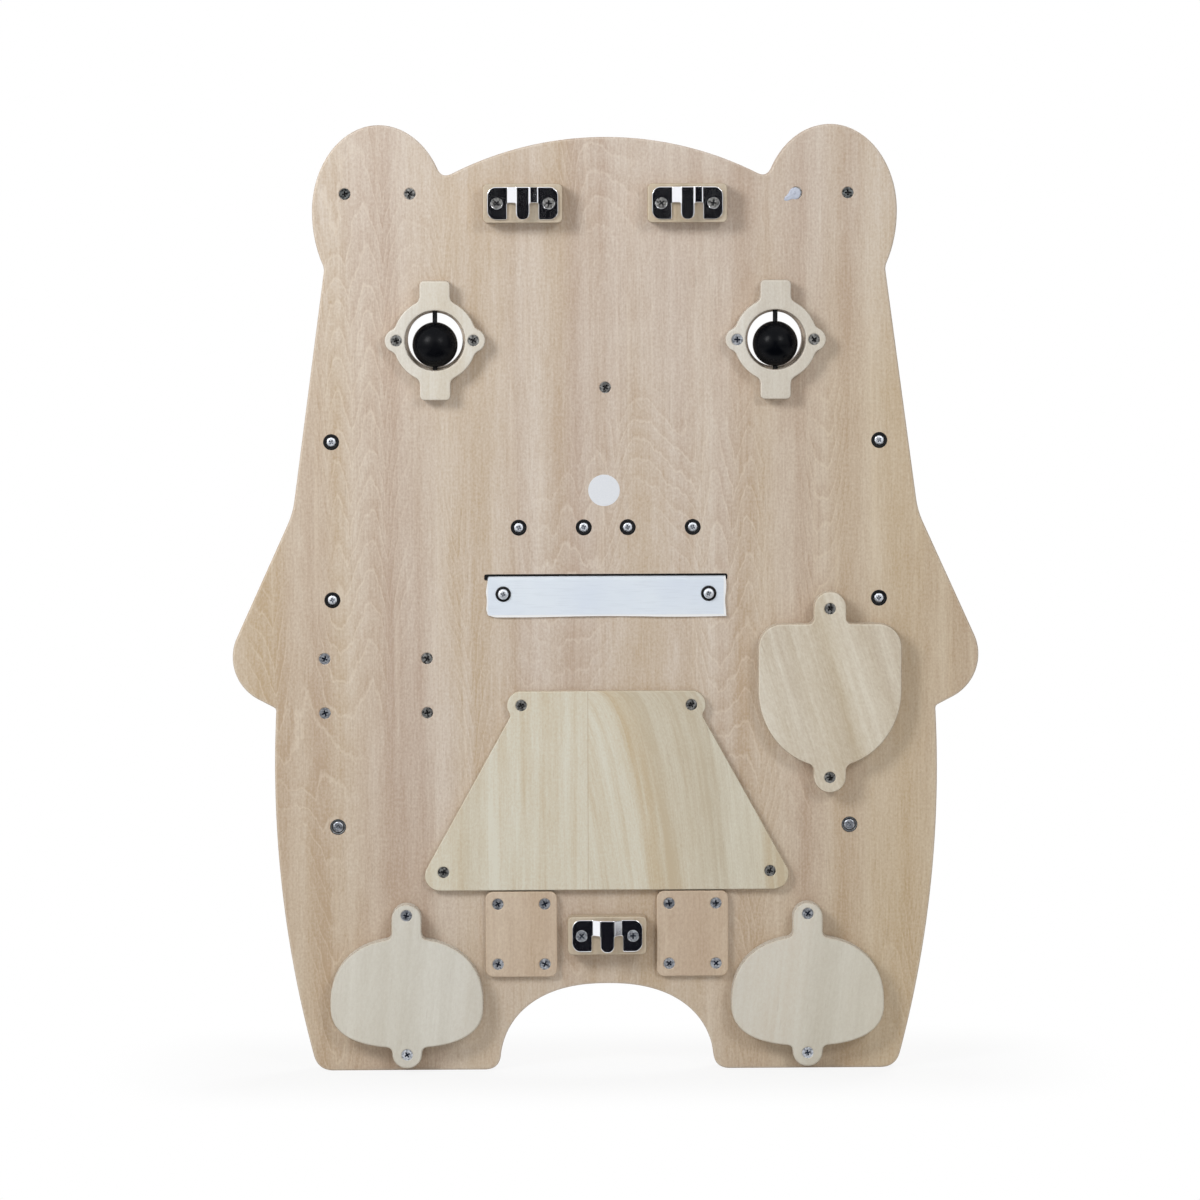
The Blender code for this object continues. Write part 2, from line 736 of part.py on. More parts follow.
def acorn_half(inset=0.0):
    """Half an acorn: a flat top with round corners over a deep round bowl."""
    side, top = ACORN_HALF_WIDTH - inset, ACORN_RISE - inset
    upper = rounded([(0, top, 0), (side, top, ACORN_CORNER - inset), (side, 0, 0)], closed=False)
    return upper + arc((0, 0), (side, ACORN_FALL - inset), 0, -90, 8)[1:]


# The board and what is let into it


def through(board, name, outline, x=0.0, z=0.0, from_depth=None):
    """Cuts this outline through the board, or from its play side up to a depth."""
    low = -BOARD_THICK - OVERRUN
    high = OVERRUN if from_depth is None else from_depth + OVERRUN
    boolean(board, slab(name, outline, high - low, (x, low, z), cutter=True))


def pocket(piece, name, outline, depth, surface=0.0, x=0.0, z=0.0):
    """Sinks this outline into a surface that faces the rear."""
    boolean(piece, slab(name, outline, depth + OVERRUN, (x, surface - depth, z), cutter=True))


def circle(radius, steps=24):
    return arc((0, 0), (radius, radius), 0, 360, steps)[:-1]


def slide_ends():
    """The low and the high end of each climbing knob's slot."""
    return {
        "left": ((-SLOT_LOW_X, SLOT_LOW_Z), (-SLOT_HIGH_X, SLOT_HIGH_Z)),
        "middle": ((0, SLOT_LOW_Z), (0, SLOT_HIGH_Z)),
        "right": ((SLOT_LOW_X, SLOT_LOW_Z), (SLOT_HIGH_X, SLOT_HIGH_Z)),
    }


def make_board():
    board = slab("board", mirrored(board_half()), BOARD_THICK, (0, -BOARD_THICK, 0), BOARD_EDGE)
    cloth_slot = rectangle(2 * CLOTH_SLOT_HALF_WIDTH, CLOTH_SLOT_HEIGHT, CLOTH_SLOT_HEIGHT / 3, 2)
    through(board, "cloth_slot", cloth_slot, 0, CLOTH_SLOT_Z)
    pocket(board, "rail_pocket", pocket_outline(), POCKET_DEPTH)
    for name, (low, high) in slide_ends().items():
        through(board, f"slot_{name}", stadium(low, high, STEM_RADIUS + RUNNING_GAP), 0, 0, -POCKET_DEPTH)
    through(board, "paw_opening", mirrored(acorn_half(ACORN_LAP)), -ACORN_X, ACORN_Z)
    for side, sign in SIDES:
        through(board, f"eye_opening_{side}", circle(EYE_HOLE_RADIUS), sign * EYE_X, EYE_Z)
        through(board, f"foot_opening_{side}", mirrored(foot_half(FOOT_LAP)), sign * FOOT_X, FOOT_Z)
        dial_pocket = circle(DIAL_DISC_RADIUS + RUNNING_GAP)
        pocket(board, f"dial_pocket_{side}", dial_pocket, DIAL_POCKET_DEPTH, 0, sign * DIAL_X, DIAL_Z)
        stem_hole = circle(DIAL_STEM_RADIUS + RUNNING_GAP, ROUND_STEPS)
        through(board, f"dial_hole_{side}", stem_hole, sign * DIAL_X, DIAL_Z, -DIAL_POCKET_DEPTH)
        ear_x, ear_z = ear_centre()
        for offset in EAR_SCREW_INSETS[side]:
            countersink(board, sign * (ear_x + offset), ear_z + EAR_SCREW_LIFT, 0)
        for z in (SIDE_WIRE_LOW_Z, SIDE_WIRE_LOW_Z + SIDE_WIRE_SPAN):
            screw_well(board, sign * SIDE_WIRE_X, z)
            leg_socket(board, sign * SIDE_WIRE_X, z, SIDE_WIRE_RADIUS)
        for x in (MOUTH_INNER_X, MOUTH_OUTER_X):
            screw_well(board, sign * x, MOUTH_Z)
            leg_socket(board, sign * x, MOUTH_Z, MOUTH_WIRE_RADIUS)
        pivot = PLACES[f"wheel_{side}"]
        screw_well(board, *pivot)
        drill(board, f"pivot_hole_{side}", WELL_SHANK_RADIUS, -BOARD_THICK, 0, *pivot, SEAT_STEPS)
        for x in (LATCH_X - LATCH_SCREW_X, LATCH_X + LATCH_SCREW_X):
            countersink(board, x, LATCH_Z + sign * LATCH_SCREW_Z, 0)
    countersink(board, 0, NOSE_Z, 0)
    return finish(board, BOARD_WOOD)


# Rear side


def make_eye(side, x):
    bezel = slab(f"eye_bezel_{side}", bezel_outline(), BEZEL_THICK, (x, SEAT_GAP, EYE_Z), BEZEL_EDGE)
    rear = SEAT_GAP + BEZEL_THICK
    pocket(bezel, f"bezel_hole_{side}", circle(BEZEL_HOLE_RADIUS), BEZEL_THICK + OVERRUN, rear, x, EYE_Z)
    groove_width = 2 * (AXLE_RADIUS + SEAT_GAP)
    groove = rectangle(groove_width, AXLE_LENGTH + 2 * SEAT_GAP, 0)
    groove_depth = SEAT_GAP + groove_width
    cutter = slab(f"axle_groove_{side}", groove, groove_depth + OVERRUN, (x, -OVERRUN, EYE_Z), cutter=True)
    boolean(bezel, cutter)
    for sign in (-1, 1):
        countersink(bezel, x + sign * BEZEL_LUG_X, EYE_Z, rear)
    finish(bezel, PALE_WOOD)
    axle_y = 2 * SEAT_GAP + AXLE_RADIUS
    half = AXLE_LENGTH / 2
    rod = [(0, half), (AXLE_RADIUS, half), (AXLE_RADIUS, -half), (0, -half)]
    axle = turned(f"eye_axle_{side}", rod, (x, axle_y, EYE_Z), (0, 0, 0), steps=SEAT_STEPS)
    finish(axle, BLACK_STEEL)
    drop = EYE_HOLE_RADIUS - BALL_RADIUS - SEAT_GAP
    profile = bored_ball(BALL_RADIUS, AXLE_RADIUS + RUNNING_GAP)
    at = (x, axle_y, EYE_Z - drop)
    ball = turned(f"eye_ball_{side}", profile, at, (0, 0, 0), closed=True, steps=BALL_STEPS)
    finish(ball, BLACK_BALL)


def plate_plan():
    """A hanger plate seen square on: two flanges, the bridge between them and the tongue below it."""
    wide, high = PLATE_WIDTH / 2, PLATE_HEIGHT / 2
    foot, tongue = BRIDGE_WIDTH / 2, TONGUE_WIDTH / 2
    slot_top = high - BRIDGE_HEIGHT
    half = rounded(
        [
            (0, high, 0),
            (wide, high, PLATE_CORNER),
            (wide, -high, PLATE_CORNER),
            (foot, -high, BEND_RADIUS),
            (foot, slot_top, BEND_RADIUS),
            (tongue, slot_top, BEND_RADIUS),
            (tongue, -high, TONGUE_ROUND),
            (0, -high, 0),
        ],
        3,
        closed=False,
    )
    return mirrored(half)


def make_hanger(name, x, z):
    block_outline = rectangle(BLOCK_WIDTH, BLOCK_HEIGHT, BLOCK_CORNER, 2)
    block = slab(f"hanger_block_{name}", block_outline, BLOCK_THICK, (x, SEAT_GAP, z), BLOCK_EDGE)
    finish(block, PALE_WOOD)
    foot = BRIDGE_WIDTH / 2
    crest = foot - BRIDGE_SLOPE
    end = PLATE_WIDTH / 2 + OVERRUN
    section = rounded(
        [
            (-end, 0, 0),
            (-foot, 0, BEND_RADIUS),
            (-crest, BRIDGE_RISE, BEND_RADIUS),
            (crest, BRIDGE_RISE, BEND_RADIUS),
            (foot, 0, BEND_RADIUS),
            (end, 0, 0),
        ],
        2,
        closed=False,
    )
    curve = bpy.data.curves.new(name, "CURVE")
    curve.dimensions = "3D"
    spline = curve.splines.new("POLY")
    spline.points.add(len(section) - 1)
    for point, (along, rise) in zip(spline.points, section):
        point.co = (along, rise, 0, 1)
    curve.extrude = PLATE_HEIGHT / 2 + OVERRUN
    plate = mesh_of_curve(curve, f"hanger_plate_{name}")
    sheet = plate.modifiers.new("sheet", "SOLIDIFY")
    sheet.thickness = SHEET
    sheet.offset = 0
    sheet.use_even_offset = True
    seat = SEAT_GAP + BLOCK_THICK + SEAT_GAP
    plate.location = (x, seat + SHEET / 2, z)
    link(plate)
    depth = BRIDGE_RISE + SHEET + 2 * OVERRUN
    plan = slab(f"plate_plan_{name}", plate_plan(), depth, (x, seat - OVERRUN, z), cutter=True)
    boolean(plate, plan, "INTERSECT")
    for sign in (-1, 1):
        countersink(plate, x + sign * (PLATE_WIDTH / 2 - PLATE_SCREW_INSET), z, seat + SHEET)
    finish(plate, ZINC_STEEL)


def make_tummy_cover():
    cover = slab("tummy_cover", mirrored(cover_half()), COVER_THICK, (0, SEAT_GAP, 0), COVER_EDGE)
    for sign in (-1, 1):
        countersink(cover, sign * COVER_LOBE_X, COVER_TOP_Z - COVER_LOBE_RADIUS, SEAT_GAP + COVER_THICK)
        low_x = COVER_HALF_WIDTH - COVER_SCREW_INSET
        countersink(cover, sign * low_x, COVER_BOTTOM_Z + COVER_SCREW_INSET, SEAT_GAP + COVER_THICK)
    finish(cover, COVER_WOOD)


def make_climber(name, low):
    """A knob on the play side, its stem through the slot, and the disc that keeps it in."""
    wall = BOARD_THICK - POCKET_DEPTH
    tail = wall + RUNNING_GAP + SLIDE_DISC_THICK
    profile = rounded(
        [
            (0, SLIDE_KNOB_HEIGHT, 0),
            (SLIDE_KNOB_RADIUS, SLIDE_KNOB_HEIGHT, SLIDE_KNOB_RADIUS / 2),
            (SLIDE_KNOB_RADIUS, SLIDE_NECK_HEIGHT, 0),
            (SLIDE_NECK_RADIUS, SLIDE_NECK_HEIGHT, 0),
            (SLIDE_NECK_RADIUS, RUNNING_GAP, 0),
            (STEM_RADIUS, RUNNING_GAP, 0),
            (STEM_RADIUS, -tail, 0),
            (0, -tail, 0),
        ],
        3,
        closed=False,
    )
    knob = turned(f"climber_{name}", profile, (low[0], -BOARD_THICK, low[1]), PLAY_SIDE)
    finish(knob, PAINTED_WOOD)
    bore = STEM_RADIUS + SEAT_GAP
    half = SLIDE_DISC_THICK / 2
    ring = [(bore, half), (SLIDE_DISC_RADIUS, half), (SLIDE_DISC_RADIUS, -half), (bore, -half)]
    at = (low[0], -POCKET_DEPTH + RUNNING_GAP + half, low[1])
    disc = turned(f"climber_disc_{name}", ring, at, PLAY_SIDE, closed=True)
    finish(disc, PALE_WOOD)


def make_dial(side, x):
    """A thin plate on the rear, and the dial that turns in the pocket under it."""
    outline = rectangle(DIAL_PLATE_WIDTH, DIAL_PLATE_HEIGHT, DIAL_PLATE_CORNER)
    plate = slab(f"dial_plate_{side}", outline, DIAL_PLATE_THICK, (x, SEAT_GAP, DIAL_Z), COVER_EDGE)
    for sign_x in (-1, 1):
        for sign_z in (-1, 1):
            at = (x + sign_x * DIAL_SCREW_X, DIAL_Z + sign_z * DIAL_SCREW_Z)
            countersink(plate, *at, SEAT_GAP + DIAL_PLATE_THICK)
    finish(plate, BOARD_WOOD)
    front = -BOARD_THICK - RUNNING_GAP
    grip = lobed(DIAL_RADIUS, DIAL_LOBE_DEPTH, DIAL_LOBES, DIAL_LOBE_STEPS)
    dial = slab(f"dial_{side}", grip, DIAL_HEIGHT, (x, front - DIAL_HEIGHT, DIAL_Z), DIAL_EDGE)
    rear = -DIAL_POCKET_DEPTH + RUNNING_GAP + DIAL_DISC_THICK
    root = front - DIAL_HEIGHT / 2
    rod = [(0, rear), (DIAL_STEM_RADIUS, rear), (DIAL_STEM_RADIUS, root), (0, root)]
    boolean(dial, turned(f"dial_stem_{side}", rod, (x, 0, DIAL_Z), REAR_SIDE, cutter=True), "UNION")
    finish(dial, PAINTED_WOOD)
    bore = DIAL_STEM_RADIUS + SEAT_GAP
    half = DIAL_DISC_THICK / 2
    radius = DIAL_DISC_RADIUS
    ring = [(bore, half), (radius, half), (radius, -half), (bore, -half)]
    disc = turned(f"dial_disc_{side}", ring, (x, rear - half, DIAL_Z), PLAY_SIDE, closed=True)
    finish(disc, PALE_WOOD)


def make_foot(side, x):
    """The cover, with a recess that holds the rim of a soft pad, and the pad."""
    outline = tabbed(foot_half(), FOOT_TAB_RADIUS, FOOT_TAB_TOP, FOOT_TAB_BOTTOM, FOOT_TAB_BLEND)
    at = (x, SEAT_GAP, FOOT_Z)
    cover = slab(f"foot_cover_{side}", outline, FOOT_COVER_THICK, at, FOOT_COVER_EDGE)
    recess = mirrored(foot_half(FOOT_RECESS_LAP))
    low = (x, -OVERRUN, FOOT_Z)
    deep = OVERRUN + SEAT_GAP + FOOT_RECESS_DEPTH
    boolean(cover, slab(f"foot_recess_{side}", recess, deep, low, cutter=True))
    for z in (FOOT_Z + FOOT_SCREW_TOP, FOOT_Z - FOOT_SCREW_BOTTOM):
        countersink(cover, x, z, SEAT_GAP + FOOT_COVER_THICK)
    finish(cover, PALE_WOOD)
    rim = mirrored(foot_half(FOOT_RECESS_LAP + SEAT_GAP))
    pad = slab(f"foot_pad_{side}", rim, PAD_FLANGE_THICK, at)
    swell = mirrored(foot_half(FOOT_LAP + RUNNING_GAP))
    front = -BOARD_THICK - PAD_PROUD
    thick = SEAT_GAP + PAD_FLANGE_THICK / 2 - front
    crown = slab(f"pad_crown_{side}", swell, thick, (x, front, FOOT_Z), PAD_ROUND, edge_steps=1)
    boolean(pad, crown, "UNION")
    finish(pad, SOFT_PLUSH)


def make_paw():
    outline = tabbed(acorn_half(), ACORN_TAB_RADIUS, ACORN_TAB_TOP, ACORN_TAB_BOTTOM, ACORN_TAB_BLEND)
    at = (-ACORN_X, SEAT_GAP, ACORN_Z)
    cover = slab("paw_cover", outline, ACORN_COVER_THICK, at, FOOT_COVER_EDGE)
    recess = mirrored(acorn_half(MIRROR_LAP))
    low = (-ACORN_X, -OVERRUN, ACORN_Z)
    deep = OVERRUN + SEAT_GAP + MIRROR_THICK + SEAT_GAP
    boolean(cover, slab("mirror_recess", recess, deep, low, cutter=True))
    for z in (ACORN_Z + ACORN_SCREW_TOP, ACORN_Z - ACORN_SCREW_BOTTOM):
        countersink(cover, -ACORN_X, z, SEAT_GAP + ACORN_COVER_THICK)
    finish(cover, PALE_WOOD)
    mirror = slab("paw_mirror", mirrored(acorn_half(MIRROR_LAP + SEAT_GAP)), MIRROR_THICK, at)
    finish(mirror, MIRROR_FACE)


# Play side


def on_front(thick):
    """The near depth of a piece of this thickness that is seated on the play side."""
    return -BOARD_THICK - SEAT_GAP - thick


def make_ear_pad(side, sign):
    outline = egg(EAR_PAD_HALF_WIDTH, EAR_PAD_RISE, EAR_PAD_FALL)
    x, z = ear_centre()
    at = (sign * x, on_front(EAR_PAD_THICK), z)
    finish(slab(f"ear_pad_{side}", outline, EAR_PAD_THICK, at, EAR_PAD_EDGE), WHITE_PAINT)


def make_nose():
    outline = egg(NOSE_HALF_WIDTH, NOSE_RISE, NOSE_FALL)
    nose = slab("nose", outline, NOSE_THICK, (0, on_front(NOSE_THICK), NOSE_Z), NOSE_EDGE, edge_steps=2)
    finish(nose, PAINTED_WOOD)


def wire(name, path, radius):
    curve = bpy.data.curves.new(name, "CURVE")
    curve.dimensions = "3D"
    curve.bevel_depth = radius
    curve.bevel_resolution = WIRE_BEVEL_STEPS
    curve.use_fill_caps = True
    spline = curve.splines.new("POLY")
    spline.points.add(len(path) - 1)
    for point, place in zip(spline.points, path):
        point.co = (*place, 1)
    return finish(link(mesh_of_curve(curve, name)), BLACK_STEEL)


def staple(low, high, stand, bend):
    """A wire bent square twice, as (depth, place): two legs in the board and a straight run before it."""
    leg = -BOARD_THICK + SOCKET_DEPTH - SEAT_GAP
    front = -BOARD_THICK - stand
    corners = [(leg, low, 0), (front, low, bend), (front, high, bend), (leg, high, 0)]
    return rounded(corners, closed=False)


def make_side_wire(side, x):
    high = SIDE_WIRE_LOW_Z + SIDE_WIRE_SPAN
    run = staple(SIDE_WIRE_LOW_Z, high, SIDE_WIRE_STAND, SIDE_WIRE_BEND)
    wire(f"side_wire_{side}", [(x, depth, z) for depth, z in run], SIDE_WIRE_RADIUS)
    rest_z = SIDE_WIRE_LOW_Z + SIDE_WIRE_BEND + SIDE_BEAD_RADIUS
    profile = bored_ball(SIDE_BEAD_RADIUS, SIDE_WIRE_RADIUS + RUNNING_GAP)
    at = (x, -BOARD_THICK - SIDE_WIRE_STAND, rest_z)
    bead = turned(f"side_bead_{side}", profile, at, (0, 0, 0), closed=True, steps=BALL_STEPS)
    finish(bead, PAINTED_WOOD)


def make_mouth_wire(side, sign):
    ends = sorted((sign * MOUTH_INNER_X, sign * MOUTH_OUTER_X))
    run = staple(*ends, MOUTH_WIRE_STAND, MOUTH_WIRE_BEND)
    wire(f"mouth_wire_{side}", [(x, depth, MOUTH_Z) for depth, x in run], MOUTH_WIRE_RADIUS)
    rest_x = MOUTH_INNER_X + MOUTH_WIRE_BEND + MOUTH_BEAD_LENGTH / 2
    bore = MOUTH_WIRE_RADIUS + RUNNING_GAP
    half = MOUTH_BEAD_LENGTH / 2
    profile = rounded(
        [
            (bore, half, 0),
            (MOUTH_BEAD_RADIUS, half, MOUTH_BEAD_ROUND),
            (MOUTH_BEAD_RADIUS, -half, MOUTH_BEAD_ROUND),
            (bore, -half, 0),
        ],
        2,
        closed=False,
    )
    at = (sign * rest_x, -BOARD_THICK - MOUTH_WIRE_STAND, MOUTH_Z)
    finish(turned(f"mouth_bead_{side}", profile, at, (0, math.pi / 2, 0), closed=True), WHITE_PAINT)


def cloth_path():
    """The cloth's middle line, as (depth, z): up the rear, through the slot and down the play side."""
    rear = SEAT_GAP + CLOTH_THICK / 2
    front = -BOARD_THICK - SEAT_GAP - CLOTH_THICK / 2
    low = CLOTH_SLOT_Z - CLOTH_TAIL
    over = CLOTH_SLOT_Z
    corners = [(rear, low, 0), (rear, over, CLOTH_TURN), (front, over, CLOTH_TURN), (front, low, 0)]
    turn = rounded(corners, 4, closed=False)
    top = CLOTH_SLOT_Z - CLOTH_TURN
    drop = CLOTH_DROP - CLOTH_TURN
    hang = [Vector((front, top - drop * (step + 1) / CLOTH_ROWS)) for step in range(CLOTH_ROWS)]
    return turn[:-1] + hang


def make_cloth():
    """The neckerchief: flat where it is screwed on at the rear, and folded where it hangs in front."""
    path = cloth_path()
    top = CLOTH_SLOT_Z - CLOTH_TURN
    made = bmesh.new()
    bmesh.ops.create_grid(made, x_segments=CLOTH_COLUMNS, y_segments=len(path) - 1, size=1)
    rows = sorted({round(vert.co.y, 6) for vert in made.verts})
    for vert in made.verts:
        depth, z = path[rows.index(round(vert.co.y, 6))]
        across = vert.co.x
        hung = max(0.0, (top - z) / (CLOTH_DROP - CLOTH_TURN)) if depth < -BOARD_THICK else 0.0
        half = CLOTH_HALF_WIDTH + (CLOTH_TIP_HALF_WIDTH - CLOTH_HALF_WIDTH) * hung**CLOTH_TAPER
        wave = (1 - math.cos(2 * math.pi * CLOTH_FOLDS * (across + 1) / 2)) / 2
        vert.co = (across * half, depth - CLOTH_FOLD_DEPTH * wave * min(1.0, 2 * hung), z)
    mesh = bpy.data.meshes.new("neckerchief")
    made.to_mesh(mesh)
    made.free()
    cloth = link(bpy.data.objects.new("neckerchief", mesh))
    thick = cloth.modifiers.new("cloth", "SOLIDIFY")
    thick.thickness = CLOTH_THICK
    thick.offset = 0
    finish(cloth, WHITE_CLOTH)


def dimple(wheel, name, surface, x, z):
    """A shallow finger dimple in a surface that faces the play side."""
    radius, depth = WHEEL_DIMPLE_RADIUS, WHEEL_DIMPLE_DEPTH
    profile = [(0, OVERRUN), (radius, OVERRUN), (radius, 0), (radius - depth, -depth), (0, -depth)]
    boolean(wheel, turned(name, profile, (x, surface, z), PLAY_SIDE, steps=HOLE_STEPS, cutter=True))


def make_wheel(side):
    """A wheel that spins on the sleeve of its cap, which a machine screw holds from the rear."""
    x, z = PLACES[f"wheel_{side}"]
    radius = WHEEL_RADII[side]
    low = -BOARD_THICK - WHEEL_STAND - WHEEL_THICK
    outline = lobed(radius, WHEEL_LOBE_DEPTH, WHEEL_LOBES[side], WHEEL_LOBE_STEPS)
    wheel = slab(f"wheel_{side}", outline, WHEEL_THICK, (x, low, z), WHEEL_EDGE)
    bore = PIVOT_SLEEVE_RADIUS + RUNNING_GAP
    drill(wheel, f"wheel_bore_{side}", bore, low, low + WHEEL_THICK, x, z, BALL_STEPS)
    reach = (radius - WHEEL_LOBE_DEPTH + PIVOT_CAP_RADIUS) / 2
    for index in range(WHEEL_DIMPLES):
        angle = 2 * math.pi * (index + 1 / 2) / WHEEL_DIMPLES
        at = (x + reach * math.cos(angle), z + reach * math.sin(angle))
        dimple(wheel, f"wheel_dimple_{side}_{index}", low, *at)
    finish(wheel, PALE_WOOD)
    under = WHEEL_STAND + WHEEL_THICK + RUNNING_GAP
    bore = PIVOT_SHANK_RADIUS + SEAT_GAP
    tip = PIVOT_SHANK_LENGTH - (BOARD_THICK - WELL_DEPTH)
    profile = rounded(
        [
            (0, under + PIVOT_CAP_HEIGHT, 0),
            (PIVOT_CAP_RADIUS, under + PIVOT_CAP_HEIGHT, PIVOT_CAP_HEIGHT - WHEEL_EDGE),
            (PIVOT_CAP_RADIUS, under, 0),
            (PIVOT_SLEEVE_RADIUS, under, 0),
            (PIVOT_SLEEVE_RADIUS, SEAT_GAP, 0),
            (bore, SEAT_GAP, 0),
            (bore, tip + SEAT_GAP, 0),
            (0, tip + SEAT_GAP, 0),
        ],
        3,
        closed=False,
    )
    finish(turned(f"pivot_cap_{side}", profile, (x, -BOARD_THICK, z), PLAY_SIDE), PALE_WOOD)
    head = rounded(
        [
            (0, PIVOT_HEAD_HEIGHT, 0),
            (PIVOT_HEAD_RADIUS, PIVOT_HEAD_HEIGHT, PIVOT_HEAD_HEIGHT / 2),
            (PIVOT_HEAD_RADIUS, SEAT_GAP, 0),
            (PIVOT_SHANK_RADIUS, SEAT_GAP, 0),
            (PIVOT_SHANK_RADIUS, -PIVOT_SHANK_LENGTH, 0),
            (0, -PIVOT_SHANK_LENGTH, 0),
        ],
        2,
        closed=False,
    )
    at = (x, -WELL_DEPTH, z)
    finish(turned(f"pivot_screw_{side}", head, at, REAR_SIDE, steps=HOLE_STEPS), ZINC_STEEL)


def make_latch():
    """A sliding bolt in two guides on a base plate."""
    outline = rectangle(LATCH_WIDTH, LATCH_HEIGHT, LATCH_CORNER)
    base_low = on_front(LATCH_THICK)
    finish(slab("latch_base", outline, LATCH_THICK, (LATCH_X, base_low, LATCH_Z), LATCH_EDGE), PALE_WOOD)
    guide_low = base_low - SEAT_GAP - GUIDE_THICK
    bolt_y = guide_low + GUIDE_THICK / 2
    along_x = (0, math.pi / 2, 0)
    half = GUIDE_WIDTH / 2 + OVERRUN
    radius = BOLT_RADIUS + RUNNING_GAP
    for name, sign in (("inner", -1), ("outer", 1)):
        x = LATCH_X + sign * GUIDE_X
        outline = rectangle(GUIDE_WIDTH, GUIDE_HEIGHT, GUIDE_CORNER, 3)
        guide = slab(f"latch_guide_{name}", outline, GUIDE_THICK, (x, guide_low, LATCH_Z), LATCH_EDGE)
        bore = [(0, half), (radius, half), (radius, -half), (0, -half)]
        boolean(guide, turned(f"guide_bore_{name}", bore, (x, bolt_y, LATCH_Z), along_x, cutter=True))
        finish(guide, PAINTED_WOOD)
    at = (LATCH_X + BOLT_TRAVEL / 2, bolt_y, LATCH_Z)
    half = GUIDE_X + GUIDE_WIDTH / 2 + BOLT_TRAVEL / 2
    ends = [(0, half, 0), (BOLT_RADIUS, half, BOLT_END), (BOLT_RADIUS, -half, BOLT_END), (0, -half, 0)]
    rod = rounded(ends, 2, closed=False)
    bolt = turned("latch_bolt", rod, at, along_x)
    knob = rounded(
        [
            (0, BOLT_RADIUS + BOLT_KNOB_HEIGHT, 0),
            (BOLT_KNOB_RADIUS, BOLT_RADIUS + BOLT_KNOB_HEIGHT, BOLT_KNOB_RADIUS / 2),
            (BOLT_KNOB_RADIUS, BOLT_RADIUS + BOLT_KNOB_NECK, BOLT_KNOB_RADIUS / 3),
            (BOLT_KNOB_NECK, BOLT_RADIUS, 0),
            (BOLT_KNOB_NECK, 0, 0),
            (0, 0, 0),
        ],
        3,
        closed=False,
    )
    boolean(bolt, turned("bolt_knob", knob, at, PLAY_SIDE, steps=HOLE_STEPS, cutter=True), "UNION")
    finish(bolt, PAINTED_WOOD)


def main():
    make_board()
    for side, sign in SIDES:
        make_eye(side, sign * EYE_X)
        make_hanger(side, sign * HANGER_X, HANGER_Z)
        make_dial(side, sign * DIAL_X)
        make_foot(side, sign * FOOT_X)
        make_ear_pad(side, sign)
        make_side_wire(side, sign * SIDE_WIRE_X)
        make_mouth_wire(side, sign)
        make_wheel(side)
    make_hanger("low", 0, DIAL_Z)
    make_tummy_cover()
    for name, (low, _) in slide_ends().items():
        make_climber(name, low)
    make_paw()
    make_nose()
    make_cloth()
    make_latch()


main()
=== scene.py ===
"""The bear board dressed for its portrait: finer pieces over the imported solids, cloth, materials and light.

Lengths are metres. Pieces are drawn from the board's own corner, as in the solids' source: x from its
middle line, z from the floor of its feet and depth from its rear face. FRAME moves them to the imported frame.
"""

import itertools
import json
import math
from functools import partialmethod

import bmesh
import bpy
from mathutils import Matrix, Vector, noise
from mathutils.geometry import intersect_line_line_2d

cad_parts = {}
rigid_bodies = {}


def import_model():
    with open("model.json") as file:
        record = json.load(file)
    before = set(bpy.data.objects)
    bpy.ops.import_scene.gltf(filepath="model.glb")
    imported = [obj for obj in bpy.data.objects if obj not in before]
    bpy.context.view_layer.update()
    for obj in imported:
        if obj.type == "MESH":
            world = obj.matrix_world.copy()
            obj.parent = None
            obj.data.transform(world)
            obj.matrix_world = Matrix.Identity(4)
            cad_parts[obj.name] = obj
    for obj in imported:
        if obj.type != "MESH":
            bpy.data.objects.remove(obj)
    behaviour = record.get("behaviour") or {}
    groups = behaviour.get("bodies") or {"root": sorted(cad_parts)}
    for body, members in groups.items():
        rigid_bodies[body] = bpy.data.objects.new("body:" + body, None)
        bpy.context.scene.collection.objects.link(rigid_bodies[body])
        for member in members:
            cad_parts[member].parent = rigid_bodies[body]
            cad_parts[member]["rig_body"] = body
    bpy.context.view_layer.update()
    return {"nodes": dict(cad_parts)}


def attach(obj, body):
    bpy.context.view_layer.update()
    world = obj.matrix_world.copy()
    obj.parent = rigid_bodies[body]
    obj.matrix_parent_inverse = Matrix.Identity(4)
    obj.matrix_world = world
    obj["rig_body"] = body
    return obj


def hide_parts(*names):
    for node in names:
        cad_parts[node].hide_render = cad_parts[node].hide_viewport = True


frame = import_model()
BODIES = {name: node["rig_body"] for name, node in frame["nodes"].items()}

# General clearances
SEAT_GAP = 0.0003
RUNNING_GAP = 0.0004
OVERRUN = 0.002
WELD = 0.00001

# Board
BOARD_HEIGHT = 0.600
BOARD_THICK = 0.015
BOARD_EDGE = 0.0015
HIP_HALF_WIDTH = 0.2102
CROWN_DROP = 0.0078
CROWN_SAG = 0.0537
EAR_HALF_WIDTH = 0.0422
EAR_RISE = 0.0545
EAR_FALL = 0.0615
CROWN_BLEND = 0.008
NECK_DROP = 0.0924
NECK_REACH = 0.020
NECK_BLEND = 0.003
SHOULDER_BLEND = 0.008
PAW_RADIUS = 0.0304
PAW_UNDER_ANGLE = -62.4
PAW_NOTCH_BLEND = 0.002
HIP_RADIUS = 0.720
FOOT_CORNER = 0.010
ARCH_HALF_WIDTH = 0.0692
ARCH_RISE = 0.0552
ARCH_OPENING = 0.0684
ARCH_FULL = 2.3
TRIM = 0.00006

